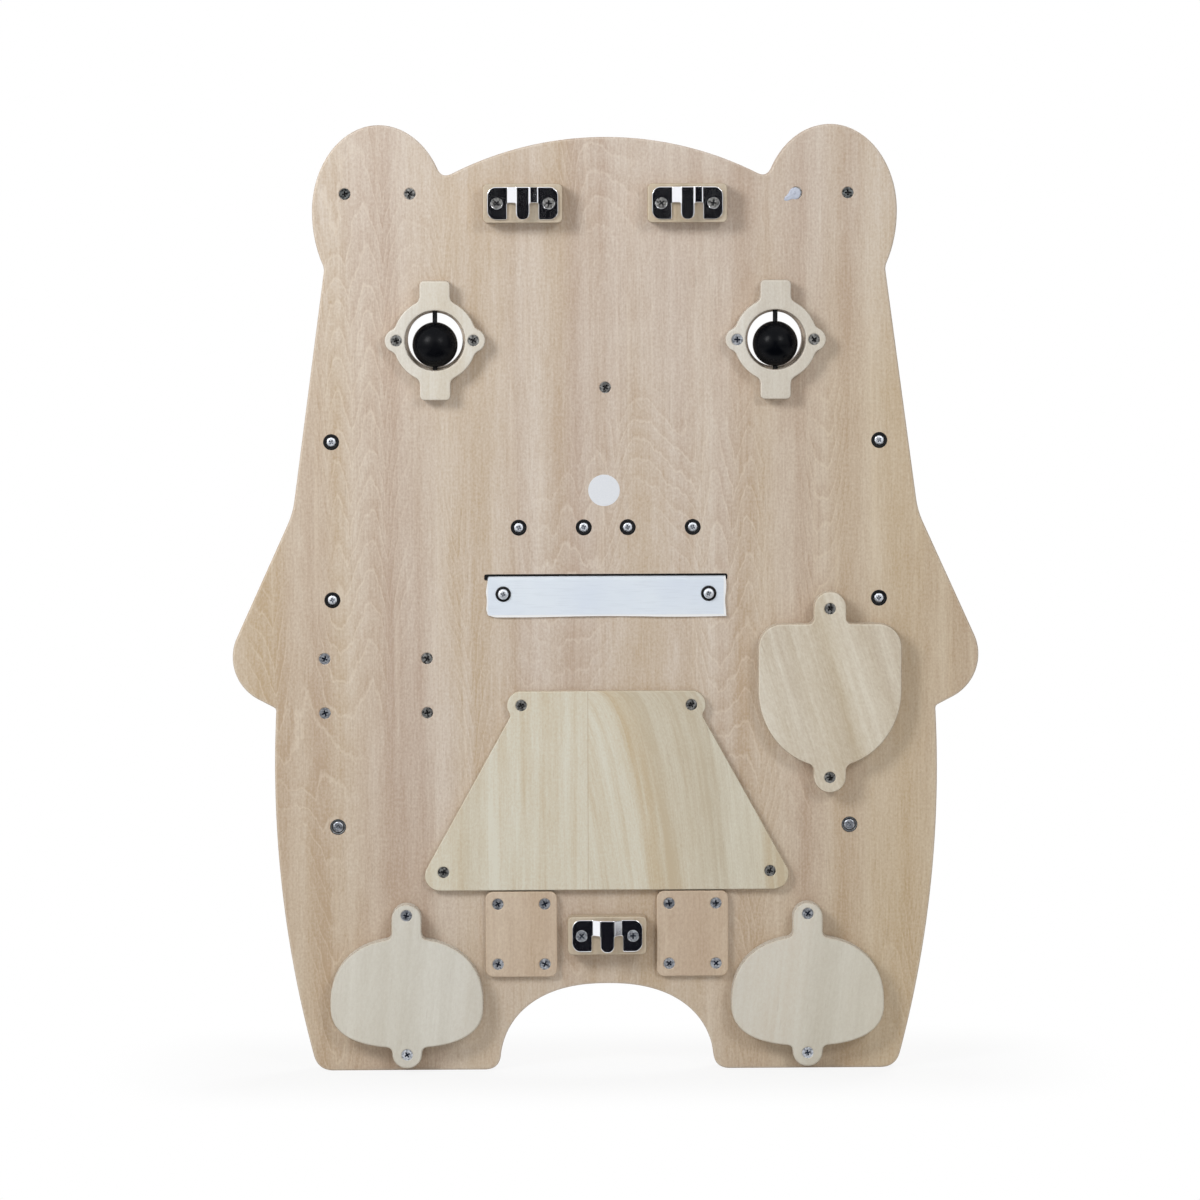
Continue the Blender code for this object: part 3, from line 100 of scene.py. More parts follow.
# Places on the board, as shares of its half width and of its height
PLACE_SHARES = {
    "ear": (0.6746, 0),
    "neck": (0.8416, 0),
    "shoulder": (0.9401, 0.5937),
    "paw": (0.9800, 0.4413),
    "hip": (1, 0.3183),
    "hanger": (0.2455, 0.9180),
    "eye": (0.5095, 0.7750),
    "nose": (0, 0.7248),
    "mouth": (0, 0.5775),
    "cloth_slot": (0, 0.5250),
    "side_wire": (0.8230, 0.5017),
    "acorn": (0.6722, 0.4058),
    "latch": (0.6936, 0.4107),
    "cover_top": (0, 0.4050),
    "cover_bottom": (0, 0.1933),
    "wheel_left": (-0.7350, 0.2608),
    "wheel_right": (0.8111, 0.2608),
}
PLACES = {name: (x * HIP_HALF_WIDTH, z * BOARD_HEIGHT) for name, (x, z) in PLACE_SHARES.items()}

# Screw seats
CSK_RADIUS = 0.0041
CSK_DEPTH = 0.0024
CSK_SHANK_RADIUS = 0.0018
WELL_RADIUS = 0.0051
WELL_DEPTH = 0.0030

# Hangers on the rear
HANGER_X, HANGER_Z = PLACES["hanger"]
BLOCK_WIDTH = 0.0500
BLOCK_HEIGHT = 0.0245
BLOCK_THICK = 0.0120
BLOCK_CORNER = 0.0030
BLOCK_EDGE = 0.0010
PLATE_WIDTH = 0.0446
PLATE_HEIGHT = 0.0204
PLATE_CORNER = 0.0056
PLATE_HOLE_RADIUS = 0.0033
SHEET = 0.0012
PLATE_EDGE = 0.00045
BENDS = 20
BRIDGE_RISE = 0.0046
BRIDGE_WIDTH = 0.0196
BRIDGE_SLOPE = 0.0064
BRIDGE_EASE = 0.21
BRIDGE_HEIGHT = 0.0100
BEND_RADIUS = 0.0012
TONGUE_WIDTH = 0.0084
TONGUE_ROUND = 0.0040
PLATE_SCREW_INSET = 0.0060

# Eyes
EYE_X, EYE_Z = PLACES["eye"]
EYE_HOLE_RADIUS = 0.0173
BEZEL_THICK = 0.0090
BEZEL_EDGE = 0.0012
BEZEL_HOLE_RADIUS = 0.0188
BEZEL_RADIUS = 0.0264
BEZEL_LUG_X = 0.0242
BEZEL_LUG_RADIUS = 0.0075
BEZEL_LUG_BLEND = 0.0030
BEZEL_TAB_WIDTH = 0.0194
BEZEL_HEIGHT = 0.0750
BEZEL_TAB_CORNER = 0.0030
BEZEL_TAB_BLEND = 0.0035
BALL_RADIUS = 0.01425
AXLE_RADIUS = 0.0015
AXLE_LENGTH = 0.0660

# Tummy cover, rail pocket and climbing knobs
COVER_THICK = 0.0050
COVER_EDGE = 0.0008
COVER_TOP_Z = PLACES["cover_top"][1]
COVER_BOTTOM_Z = PLACES["cover_bottom"][1]
COVER_LOBE_X = 0.0539
COVER_LOBE_RADIUS = 0.0090
COVER_LOBE_BLEND = 0.0025
COVER_WAIST_X = 0.0618
COVER_WAIST_DROP = 0.0178
COVER_WAIST_Z = COVER_TOP_Z - COVER_WAIST_DROP
COVER_HALF_WIDTH = 0.1155
COVER_CORNER = 0.0097
COVER_SCREW_INSET = 0.0118
POCKET_LAP = 0.0110
POCKET_CORNER = 0.0060
POCKET_DEPTH = 0.0080
STEM_RADIUS = 0.0040
SLIDE_DISC_RADIUS = 0.0095
SLOT_LOW_GAP = 0.0035
SLOT_HIGH_GAP = 0.0105
SLOT_LOW_Z = COVER_BOTTOM_Z + POCKET_LAP + SLIDE_DISC_RADIUS + SLOT_LOW_GAP
SLOT_HIGH_Z = COVER_TOP_Z - POCKET_LAP - SLIDE_DISC_RADIUS - SLOT_HIGH_GAP
SLOT_LOW_X = 0.0760
SLOT_HIGH_X = 0.0400
SLIDE_DISC_THICK = 0.0040
SLIDE_KNOB_RADIUS = 0.0120
SLIDE_KNOB_HEIGHT = 0.0160
SLIDE_NECK_RADIUS = 0.0070
SLIDE_NECK_HEIGHT = 0.0030

# Dials beside the arch
DIAL_PLATE_WIDTH = 0.0455
DIAL_PLATE_HEIGHT = 0.0548
DIAL_PLATE_GAP = 0.0008
DIAL_FOOT_GAP = 0.00155
DIAL_PLATE_CORNER = 0.0050
DIAL_PLATE_THICK = 0.0040
DIAL_SCREW_X = 0.0149
DIAL_SCREW_Z = 0.0193
DIAL_RADIUS = 0.0180
DIAL_LOBE_DEPTH = 0.0024
DIAL_LOBES = 6
DIAL_HEIGHT = 0.0140
DIAL_EDGE = 0.0025
DIAL_STEM_RADIUS = 0.0070
DIAL_DISC_RADIUS = 0.0160
DIAL_DISC_THICK = 0.0045
DIAL_POCKET_DEPTH = 0.0060

# Feet
FOOT_HALF_WIDTH = 0.0486
FOOT_ARCH_GAP = 0.0095
FOOT_CLEAR = 0.0032
FOOT_RISE = 0.0426
FOOT_FALL = 0.0276
FOOT_FULL = (2.3, 2.5)
FOOT_TAB_RADIUS = 0.0095
FOOT_TAB_TOP = 0.0642
FOOT_TAB_BOTTOM = 0.0408
FOOT_TAB_BLEND = 0.0040
FOOT_SCREW_TOP = 0.0572
FOOT_SCREW_BOTTOM = 0.0320
FOOT_COVER_THICK = 0.0120
FOOT_COVER_EDGE = 0.0012
FOOT_LAP = 0.0115
FOOT_RECESS_LAP = 0.0060
FOOT_RECESS_DEPTH = 0.0060
PAD_FLANGE_THICK = 0.0048
PAD_SHOULDER = 0.0035
PAD_CROWN = 0.0040
PAD_RINGS = 17
PAD_PRESSURE = 4.0
PAD_SLACK = 0.05
PAD_FRAMES = 20
PAD_CAP = 0.0040
PAD_ROUND = 0.8
PAD_LUMPS = 0.0009
FOOT_X = ARCH_HALF_WIDTH + FOOT_ARCH_GAP + FOOT_HALF_WIDTH
FOOT_Z = FOOT_CLEAR + FOOT_TAB_BOTTOM
DIAL_X = FOOT_X - FOOT_HALF_WIDTH - DIAL_FOOT_GAP - DIAL_PLATE_WIDTH / 2
DIAL_Z = COVER_BOTTOM_Z - DIAL_PLATE_GAP - DIAL_PLATE_HEIGHT / 2

# Paw with the mirror
ACORN_X, ACORN_Z = PLACES["acorn"]
ACORN_HALF_WIDTH = 0.0453
ACORN_RISE = 0.0421
ACORN_CORNER = 0.0150
ACORN_FALL = 0.0490
ACORN_TAB_RADIUS = 0.01025
ACORN_TAB_TOP = 0.0625
ACORN_TAB_BOTTOM = 0.0651
ACORN_TAB_BLEND = 0.0040
ACORN_SCREW_TOP = 0.0517
ACORN_SCREW_BOTTOM = 0.0555
ACORN_COVER_THICK = 0.0120
ACORN_LAP = 0.0110
MIRROR_LAP = 0.0060
MIRROR_THICK = 0.0030

# Ears and nose on the play side
EAR_SCREW_LIFT = 0.0114
EAR_SCREW_INSETS = {"left": (-0.0212, 0.0112), "right": (-0.0194, 0.0215)}
EAR_PAD_HALF_WIDTH = 0.0280
EAR_PAD_RISE = 0.0350
EAR_PAD_FALL = 0.0400
EAR_PAD_THICK = 0.0080
EAR_PAD_EDGE = 0.0025
NOSE_Z = PLACES["nose"][1]
NOSE_HALF_WIDTH = 0.0340
NOSE_RISE = 0.0190
NOSE_FALL = 0.0270
NOSE_THICK = 0.0140
NOSE_EDGE = 0.0045

# Bead wires on the play side
SIDE_WIRE_X, SIDE_WIRE_LOW_Z = PLACES["side_wire"]
SIDE_WIRE_SPAN = 0.1000
SIDE_WIRE_RADIUS = 0.0025
SIDE_WIRE_STAND = 0.0340
SIDE_WIRE_BEND = 0.0120
SIDE_BEAD_RADIUS = 0.0140
MOUTH_Z = PLACES["mouth"][1]
MOUTH_INNER_X = 0.0139
MOUTH_OUTER_X = 0.0550
MOUTH_WIRE_RADIUS = 0.0020
MOUTH_WIRE_STAND = 0.0220
MOUTH_WIRE_BEND = 0.0065
MOUTH_BEAD_RADIUS = 0.0085
MOUTH_BEAD_LENGTH = 0.0120
MOUTH_BEAD_ROUND = 0.0030
SOCKET_DEPTH = 0.0080

# Neckerchief
CLOTH_THICK = 0.0012
CLOTH_HALF_WIDTH = 0.0758
CLOTH_SLOT_HALF_WIDTH = 0.0770
CLOTH_SLOT_Z = PLACES["cloth_slot"][1]
CLOTH_SLOT_HEIGHT = 0.0040
CLOTH_TAIL = 0.0250
CLOTH_TURN = 0.0020
CLOTH_DROP = 0.0780
CLOTH_TIP_HALF_WIDTH = 0.0040
CLOTH_FOLD_DEPTH = 0.0042
CLOTH_FOLDS = 4
CLOTH_TAPER = 1.3
CLOTH_CORNER = 0.0055
CLOTH_COLUMNS, CLOTH_TAIL_ROWS, CLOTH_HANG_ROWS = 120, 20, 64
CLOTH_SCREW_X = 0.0650
CLOTH_SCREW_DROP = 0.0105

# Spinning wheels and their pivots
WHEEL_RADII = {"left": 0.0380, "right": 0.0330}
WHEEL_LOBES = {"left": 8, "right": 6}
WHEEL_LOBE_DEPTH = 0.0060
WHEEL_THICK = 0.0100
WHEEL_STAND = 0.0010
WHEEL_EDGE = 0.0020
WHEEL_DIMPLE_RADIUS = 0.0060
WHEEL_DIMPLE_DEPTH = 0.0025
WHEEL_DIMPLES = 4
PIVOT_SLEEVE_RADIUS = 0.0060
PIVOT_CAP_RADIUS = 0.0110
PIVOT_CAP_HEIGHT = 0.0060
PIVOT_SHANK_RADIUS = 0.0015
PIVOT_SHANK_LENGTH = 0.0240
PIVOT_HEAD_RADIUS = 0.0037
PIVOT_HEAD_HEIGHT = 0.0022

# Bolt latch
LATCH_X, LATCH_Z = PLACES["latch"]
LATCH_WIDTH = 0.0810
LATCH_HEIGHT = 0.0500
LATCH_CORNER = 0.0060
LATCH_THICK = 0.0080
LATCH_EDGE = 0.0015
LATCH_SCREW_X = 0.0324
LATCH_SCREW_Z = 0.0173
GUIDE_WIDTH = 0.0140
GUIDE_HEIGHT = 0.0300
GUIDE_THICK = 0.0200
GUIDE_CORNER = 0.0020
GUIDE_X = 0.0290
BOLT_RADIUS = 0.0060
BOLT_TRAVEL = 0.0200
BOLT_END = 0.0015
BOLT_KNOB_RADIUS = 0.0070
BOLT_KNOB_NECK = 0.0040
BOLT_KNOB_HEIGHT = 0.0150

# Fasteners and sticker
HEAD_RADIUS = 0.0037
HEAD_SUNK = 0.0005
SCREW_LENGTH = 0.0090
HANGER_BORE_RADIUS = 0.8 * HEAD_RADIUS
PAN_RADIUS = 0.00325
PAN_HEIGHT = 0.0022
PAN_ROUND = 0.6 * PAN_HEIGHT
PAN_REACH = 0.0016
CROSS_REACH = 0.0021
CROSS_WIDTH = 0.0011
CROSS_DEPTH = 0.0018
CROSS_WIDE, CROSS_NARROW = 1.35, 0.45
PAN_CROSS_SHARE = 0.8
SCREW_TURN = 2.4
RING_RADIUS = 0.0050
RING_HOLE_RADIUS = 0.0035
RING_PROUD = 0.0003
WASHER_RADIUS = 0.0049
WASHER_THICK = 0.0008
WASHER_SINK = 0.0002
STICKER_RADIUS = 0.0100
STICKER_THICK = 0.0001
STICKER_STEPS = 96
STICKER_PLACE = (0.0010, 0.3699)
FILLER_RADIUS = 0.0038
FILLER_THICK = 0.0007
FILLER_TAIL = 0.0042
FILLER_TAIL_ANGLE = -32
FILLER_TAIL_SPREAD = 0.33
FILLER_WAVER = 0.0004
FILLER_SHIFT = (0.0010, -0.0004)
FILLER_RINGS = (1, 0.95, 0.85, 0.7, 0.5, 0.3, 0.12)
SLOT_DRAW = 0.0014

# Fineness
FINE = 4
EDGE_STEPS = 3
ROUND_STEPS = 64
SMALL_STEPS = 32

PLAY_SIDE = (math.pi / 2, 0, 0)
REAR_SIDE = (-math.pi / 2, 0, 0)
UPRIGHT = (0, 0, 0)
ALONG_X = (0, math.pi / 2, 0)
SIDES = (("left", -1), ("right", 1))
WALL_DEPTH = SEAT_GAP + BLOCK_THICK + SEAT_GAP + BRIDGE_RISE + SHEET
PLY = 0.0017
VEE_SPACING = 0.021
THREAD = 0.00055
FRAME = Matrix.Translation((0, -WALL_DEPTH, -HANGER_Z))
FLOOR_Z = -HANGER_Z


# Paths and outlines, as lists of (x, z) points


def arc(centre, radii, start, end, steps, full=2.0):
    """Points of an elliptic arc between two angles in degrees, fuller at its shoulders above the power 2."""
    points = []
    for step in range(steps * FINE + 1):
        angle = math.radians(start + (end - start) * step / (steps * FINE))
        ways = [math.copysign(abs(way) ** (2 / full), way) for way in (math.cos(angle), math.sin(angle))]
        points.append(Vector((centre[0] + radii[0] * ways[0], centre[1] + radii[1] * ways[1])))
    return points


def line(*ends):
    return [Vector(end) for end in ends]


def shortened(points, length):
    """The path with this length taken off its end."""
    points = list(points)
    while len(points) > 1:
        last = points.pop()
        step = (points[-1] - last).length
        if step > length:
            return points + [last + (points[-1] - last) * (length / step)]
        length -= step
    return points


def crossing(first, second):
    for i in range(len(first) - 1):
        for j in range(len(second) - 1):
            point = intersect_line_line_2d(first[i], first[i + 1], second[j], second[j + 1])
            if point is not None:
                return i, j, point
    raise ValueError("two stretches of an outline don't cross")


def blended(first, second, blend, steps=3):
    """Two stretches, cut where they cross, with the corner rounded over the length blend on each."""
    i, j, corner = crossing(first, second)
    before = shortened(first[: i + 1] + [corner], blend)
    after = shortened((second[j + 1 :])[::-1] + [corner], blend)[::-1]
    start, end = before[-1], after[0]
    turn = []
    for step in range(1, steps * FINE):
        t = step / (steps * FINE)
        turn.append(start * (1 - t) ** 2 + corner * (2 * t * (1 - t)) + end * t**2)
    return before + turn + after


def mirrored(half):
    """A half outline that starts and ends on the middle line, closed by its mirror image."""
    inner = half[1:-1]
    top = half[:1] if abs(half[0].y - half[1].y) > WELD else []
    bottom = half[-1:] if abs(half[-1].y - half[-2].y) > WELD else []
    return top + inner + bottom + [Vector((-point.x, point.y)) for point in reversed(inner)]


def quartered(quarter):
    low = [Vector((point.x, -point.y)) for point in reversed(quarter[:-1])]
    return mirrored(quarter + low)


def rounded(corners, steps=3, closed=True):
    """A path through corners given as (x, z, radius), each turned by an arc of its radius."""
    path = []
    count = len(corners)
    for index, (x, z, radius) in enumerate(corners):
        corner = Vector((x, z))
        at_end = not closed and index in (0, count - 1)
        if at_end or radius <= 0:
            path.append(corner)
            continue
        before = (Vector(corners[index - 1][:2]) - corner).normalized()
        after = (Vector(corners[(index + 1) % count][:2]) - corner).normalized()
        half = before.angle(after) / 2
        reach = radius / math.tan(half)
        centre = corner + (before + after).normalized() * (radius / math.sin(half))
        start, end = corner + before * reach - centre, corner + after * reach - centre
        sweep = start.angle_signed(end)
        for step in range(steps * FINE + 1):
            turn = sweep * step / (steps * FINE)
            cosine, sine = math.cos(turn), math.sin(turn)
            turned_by = Vector((start.x * cosine + start.y * sine, start.y * cosine - start.x * sine))
            path.append(centre + turned_by)
    return path


def stretch(*corners, steps=3):
    """An open path through corners given as (x, z, radius)."""
    return rounded(corners, steps, closed=False)


def rectangle(width, height, corner):
    x, z = width / 2, height / 2
    return rounded([(-x, -z, corner), (x, -z, corner), (x, z, corner), (-x, z, corner)])


def egg_half(half_width, rise, fall, full=(2.0, 2.0)):
    upper = arc((0, 0), (half_width, rise), 90, 0, 6, full[0])
    return upper + arc((0, 0), (half_width, fall), 0, -90, 6, full[1])[1:]


def stadium(start, end, radius):
    """A slot between two points, with round ends."""
    start, end = Vector(start), Vector(end)
    ahead = math.degrees(math.atan2(end.y - start.y, end.x - start.x))
    first = arc(end, (radius, radius), ahead - 90, ahead + 90, 6)
    return first + arc(start, (radius, radius), ahead + 90, ahead + 270, 6)


def tabbed(half, radius, top, bottom, blend):
    """A cover's half outline, with a round ended screw tab above and below, closed by its mirror image."""
    head = arc((0, top - radius), (radius, radius), 90, 0, 3) + line((radius, 0))
    foot = line((radius, 0)) + arc((0, radius - bottom), (radius, radius), 0, -90, 3)
    return mirrored(blended(blended(head, half, blend), foot, blend))


def lobed(radius, depth, lobes, steps_per_lobe=24):
    """A round outline whose edge waves in and out, once for each lobe."""
    count = lobes * steps_per_lobe
    points = []
    for step in range(count):
        angle = 2 * math.pi * step / count
        reach = radius - depth * (1 - math.cos(lobes * angle)) / 2
        points.append(Vector((reach * math.cos(angle), reach * math.sin(angle))))
    return points


def circle(radius, x=0.0, z=0.0):
    return arc((x, z), (radius, radius), 0, 360, 16)[:-1]


def moved(outline, x, z):
    return [point + Vector((x, z)) for point in outline]


def tangent_angle(point, centre, radius):
    """The angle, in degrees, at which a line from the point touches the upper outer side of a circle."""
    away = Vector(point) - Vector(centre)
    return math.degrees(math.atan2(away.y, away.x) - math.acos(radius / away.length))


# Solids


def new_object(name, mesh):
    obj = bpy.data.objects.new(name, mesh)
    bpy.context.scene.collection.objects.link(obj)
    return obj


def evaluated_mesh(obj):
    graph = bpy.context.evaluated_depsgraph_get()
    return bpy.data.meshes.new_from_object(obj.evaluated_get(graph))


def built(made, matrix=Matrix()):
    """A mesh object of what was made, with its faces turned outwards."""
    bmesh.ops.recalc_face_normals(made, faces=made.faces)
    mesh = bpy.data.meshes.new("piece")
    made.to_mesh(mesh)
    made.free()
    mesh.transform(matrix)
    return new_object("piece", mesh)


def mesh_of_curve(curve, matrix=Matrix()):
    """The curve's shape as a mesh object with welded caps, and the curve removed."""
    guide = new_object("guide", curve)
    mesh = evaluated_mesh(guide)
    bpy.data.objects.remove(guide)
    bpy.data.curves.remove(curve)
    welded = bmesh.new()
    welded.from_mesh(mesh)
    bpy.data.meshes.remove(mesh)
    bmesh.ops.remove_doubles(welded, verts=welded.verts, dist=WELD)
    return built(welded, matrix)


def lofted(rings):
    """A closed skin over rings of equally many points, capped at the first and the last."""
    made = bmesh.new()
    loops = [[made.verts.new(point) for point in ring] for ring in rings]
    count = len(loops[0])
    for first, second in zip(loops, loops[1:]):
        for step in range(count):
            after = (step + 1) % count
            made.faces.new([first[step], first[after], second[after], second[step]])
    made.faces.new(loops[0])
    made.faces.new(loops[-1])
    return built(made)


def placed(at, facing):
    x, depth, z = at
    turn_x, turn_y, _ = facing
    turn = Matrix.Rotation(turn_y, 4, "Y") @ Matrix.Rotation(turn_x, 4, "X")
    return Matrix.Translation((x, depth, z)) @ turn


def slab(outline, thick, at, edge=0.0, holes=()):
    """A flat piece of this outline, its edges rounded. It grows from its near depth to +Y."""
    curve = bpy.data.curves.new("outline", "CURVE")
    curve.dimensions = "2D"
    curve.fill_mode = "BOTH"
    for path in (outline, *holes):
        spline = curve.splines.new("POLY")
        spline.points.add(len(path) - 1)
        for point, (x, z) in zip(spline.points, path):
            point.co = (x, z, 0, 1)
        spline.use_cyclic_u = True
    curve.extrude = thick / 2 - edge
    if edge:
        curve.bevel_depth = edge
        curve.offset = -edge
        curve.bevel_resolution = EDGE_STEPS
    return mesh_of_curve(curve, placed((at[0], at[1] + thick / 2, at[2]), PLAY_SIDE))


def turned(profile, at, facing, closed=False, steps=ROUND_STEPS):
    """A solid of revolution. The profile, as (radius, height), runs from its top down its outer side."""
    made = bmesh.new()
    rings = []
    for radius, height in profile:
        count = steps if radius > WELD else 1
        angles = [2 * math.pi * step / steps for step in range(count)]
        rings.append([made.verts.new((radius * math.cos(a), radius * math.sin(a), height)) for a in angles])
    pairs = list(zip(rings, rings[1:])) + ([(rings[-1], rings[0])] if closed else [])
    for upper, lower in pairs:
        for step in range(steps):
            ends = (step, (step + 1) % steps)
            corners = [upper[end % len(upper)] for end in ends]
            corners += [lower[end % len(lower)] for end in ends[::-1]]
            made.faces.new(list(dict.fromkeys(corners)))
    return built(made, placed(at, facing))


def combine(piece, others, operation="DIFFERENCE"):
    """Cuts or joins the other pieces, merged into one, in one exact step."""
    merged = bmesh.new()
    for other in others:
        merged.from_mesh(other.data)
        bpy.data.objects.remove(other)
    mesh = bpy.data.meshes.new("tool")
    merged.to_mesh(mesh)
    merged.free()
    tool = new_object("tool", mesh)
    step = piece.modifiers.new("tool", "BOOLEAN")
    step.operation = operation
    step.object = tool
    made = evaluated_mesh(piece)
    piece.modifiers.clear()
    piece.data = made
    bpy.data.objects.remove(tool)
    return piece


def seat(x, z, surface, facing=REAR_SIDE):
    """The cutter of a countersunk screw's seat."""
    profile = [
        (0, OVERRUN),
        (CSK_RADIUS, OVERRUN),
        (CSK_RADIUS, 0),
        (CSK_SHANK_RADIUS, -CSK_DEPTH),
        (CSK_SHANK_RADIUS, -SCREW_LENGTH / 2),
        (0, -SCREW_LENGTH / 2),
    ]
    return turned(profile, (x, surface, z), facing, steps=SMALL_STEPS)


def bore(radius, high, low, at, facing, steps=SMALL_STEPS):
    profile = [(0, high), (radius, high), (radius, low), (0, low)]
    return turned(profile, at, facing, steps=steps)


def bored_ball(radius, hole):
    """Profile of a ball with a hole along its axis."""
    top = math.degrees(math.acos(hole / radius))
    return [tuple(point) for point in arc((0, 0), (radius, radius), top, -top, 8)]


def dress(obj, look, *nodes, name=None, body=None, smooth_under=32):
    """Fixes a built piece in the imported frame, gives it its finish and lets it stand for its nodes."""
    obj.name = name or f"{nodes[0]}_fine"
    material, slot = look
    obj.data.transform(FRAME)
    obj.data.materials.clear()
    obj.data.materials.append(material)
    obj.data.shade_smooth()
    obj.data.set_sharp_from_angle(angle=math.radians(smooth_under))
    normals = obj.modifiers.new("normals", "WEIGHTED_NORMAL")
    normals.keep_sharp = True
    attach(obj, body or BODIES[nodes[0]])
    if nodes:
        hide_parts(*nodes)
    return obj


# Materials


class Shader:
    """A material built by short calls, where a socket takes a number, a colour or another node's output."""

    def __init__(self, name, **sockets):
        self.material = bpy.data.materials.new(name)
        self.material.use_nodes = True
        self.nodes = self.material.node_tree.nodes
        self.links = self.material.node_tree.links
        self.surface = self.nodes["Principled BSDF"]
        place = self.add("TexCoord")
        self.place, self.normal = place.outputs["Object"], place.outputs["Normal"]
        self.set(**{key.replace("_", " "): value for key, value in sockets.items()})

    def put(self, socket, value):
        if isinstance(value, bpy.types.NodeSocket):
            self.links.new(value, socket)
        else:
            socket.default_value = value

    def set(self, **sockets):
        for key, value in sockets.items():
            self.put(self.surface.inputs[key.replace("_", " ")], value)

    def add(self, kind, inputs=(), **settings):
        node = self.nodes.new("ShaderNode" + kind)
        for key, value in settings.items():
            setattr(node, key, value)
        for index, value in dict(inputs).items():
            self.put(node.inputs[index], value)
        return node

    def math(self, operation, first, second=0.0, third=0.0):
        node = self.add("Math", {0: first, 1: second, 2: third}, operation=operation)
        return node.outputs[0]

    plus, minus = partialmethod(math, "ADD"), partialmethod(math, "SUBTRACT")
    times, fused = partialmethod(math, "MULTIPLY"), partialmethod(math, "MULTIPLY_ADD")
    size = partialmethod(math, "ABSOLUTE")

    def mapped(self, scale, vector=None):
        return self.add("Mapping", {0: vector or self.place, 3: scale}).outputs[0]

    def noise(self, vector, scale=1.0, detail=2.0, roughness=0.5):
        inputs = {"Vector": vector, "Scale": scale, "Detail": detail, "Roughness": roughness}
        return self.add("TexNoise", inputs).outputs[0]

    def range(self, value, low, high, to_low=0.0, to_high=1.0, soft=False):
        node = self.add("MapRange", {0: value, 1: low, 2: high, 3: to_low, 4: to_high})
        node.interpolation_type = "SMOOTHSTEP" if soft else "LINEAR"
        return node.outputs[0]

    ease = partialmethod(range, soft=True)

    def mix(self, factor, first, second, blend="MIX"):
        node = self.add("Mix", {0: factor, 6: first, 7: second}, data_type="RGBA", blend_type=blend)
        return node.outputs[2]

    def bump(self, height, strength, distance):
        inputs = {"Height": height, "Strength": strength, "Distance": distance}
        return self.add("Bump", inputs).outputs[0]

    def split(self, vector):
        return self.add("SeparateXYZ", {0: vector}).outputs

    def joined(self, *parts):
        return self.add("CombineXYZ", dict(enumerate(parts))).outputs[0]


def srgb(red, green, blue):
    """A colour written as a screen shows it, from 0 to 255."""
    return tuple(((part / 255 + 0.055) / 1.055) ** 2.4 for part in (red, green, blue)) + (1,)


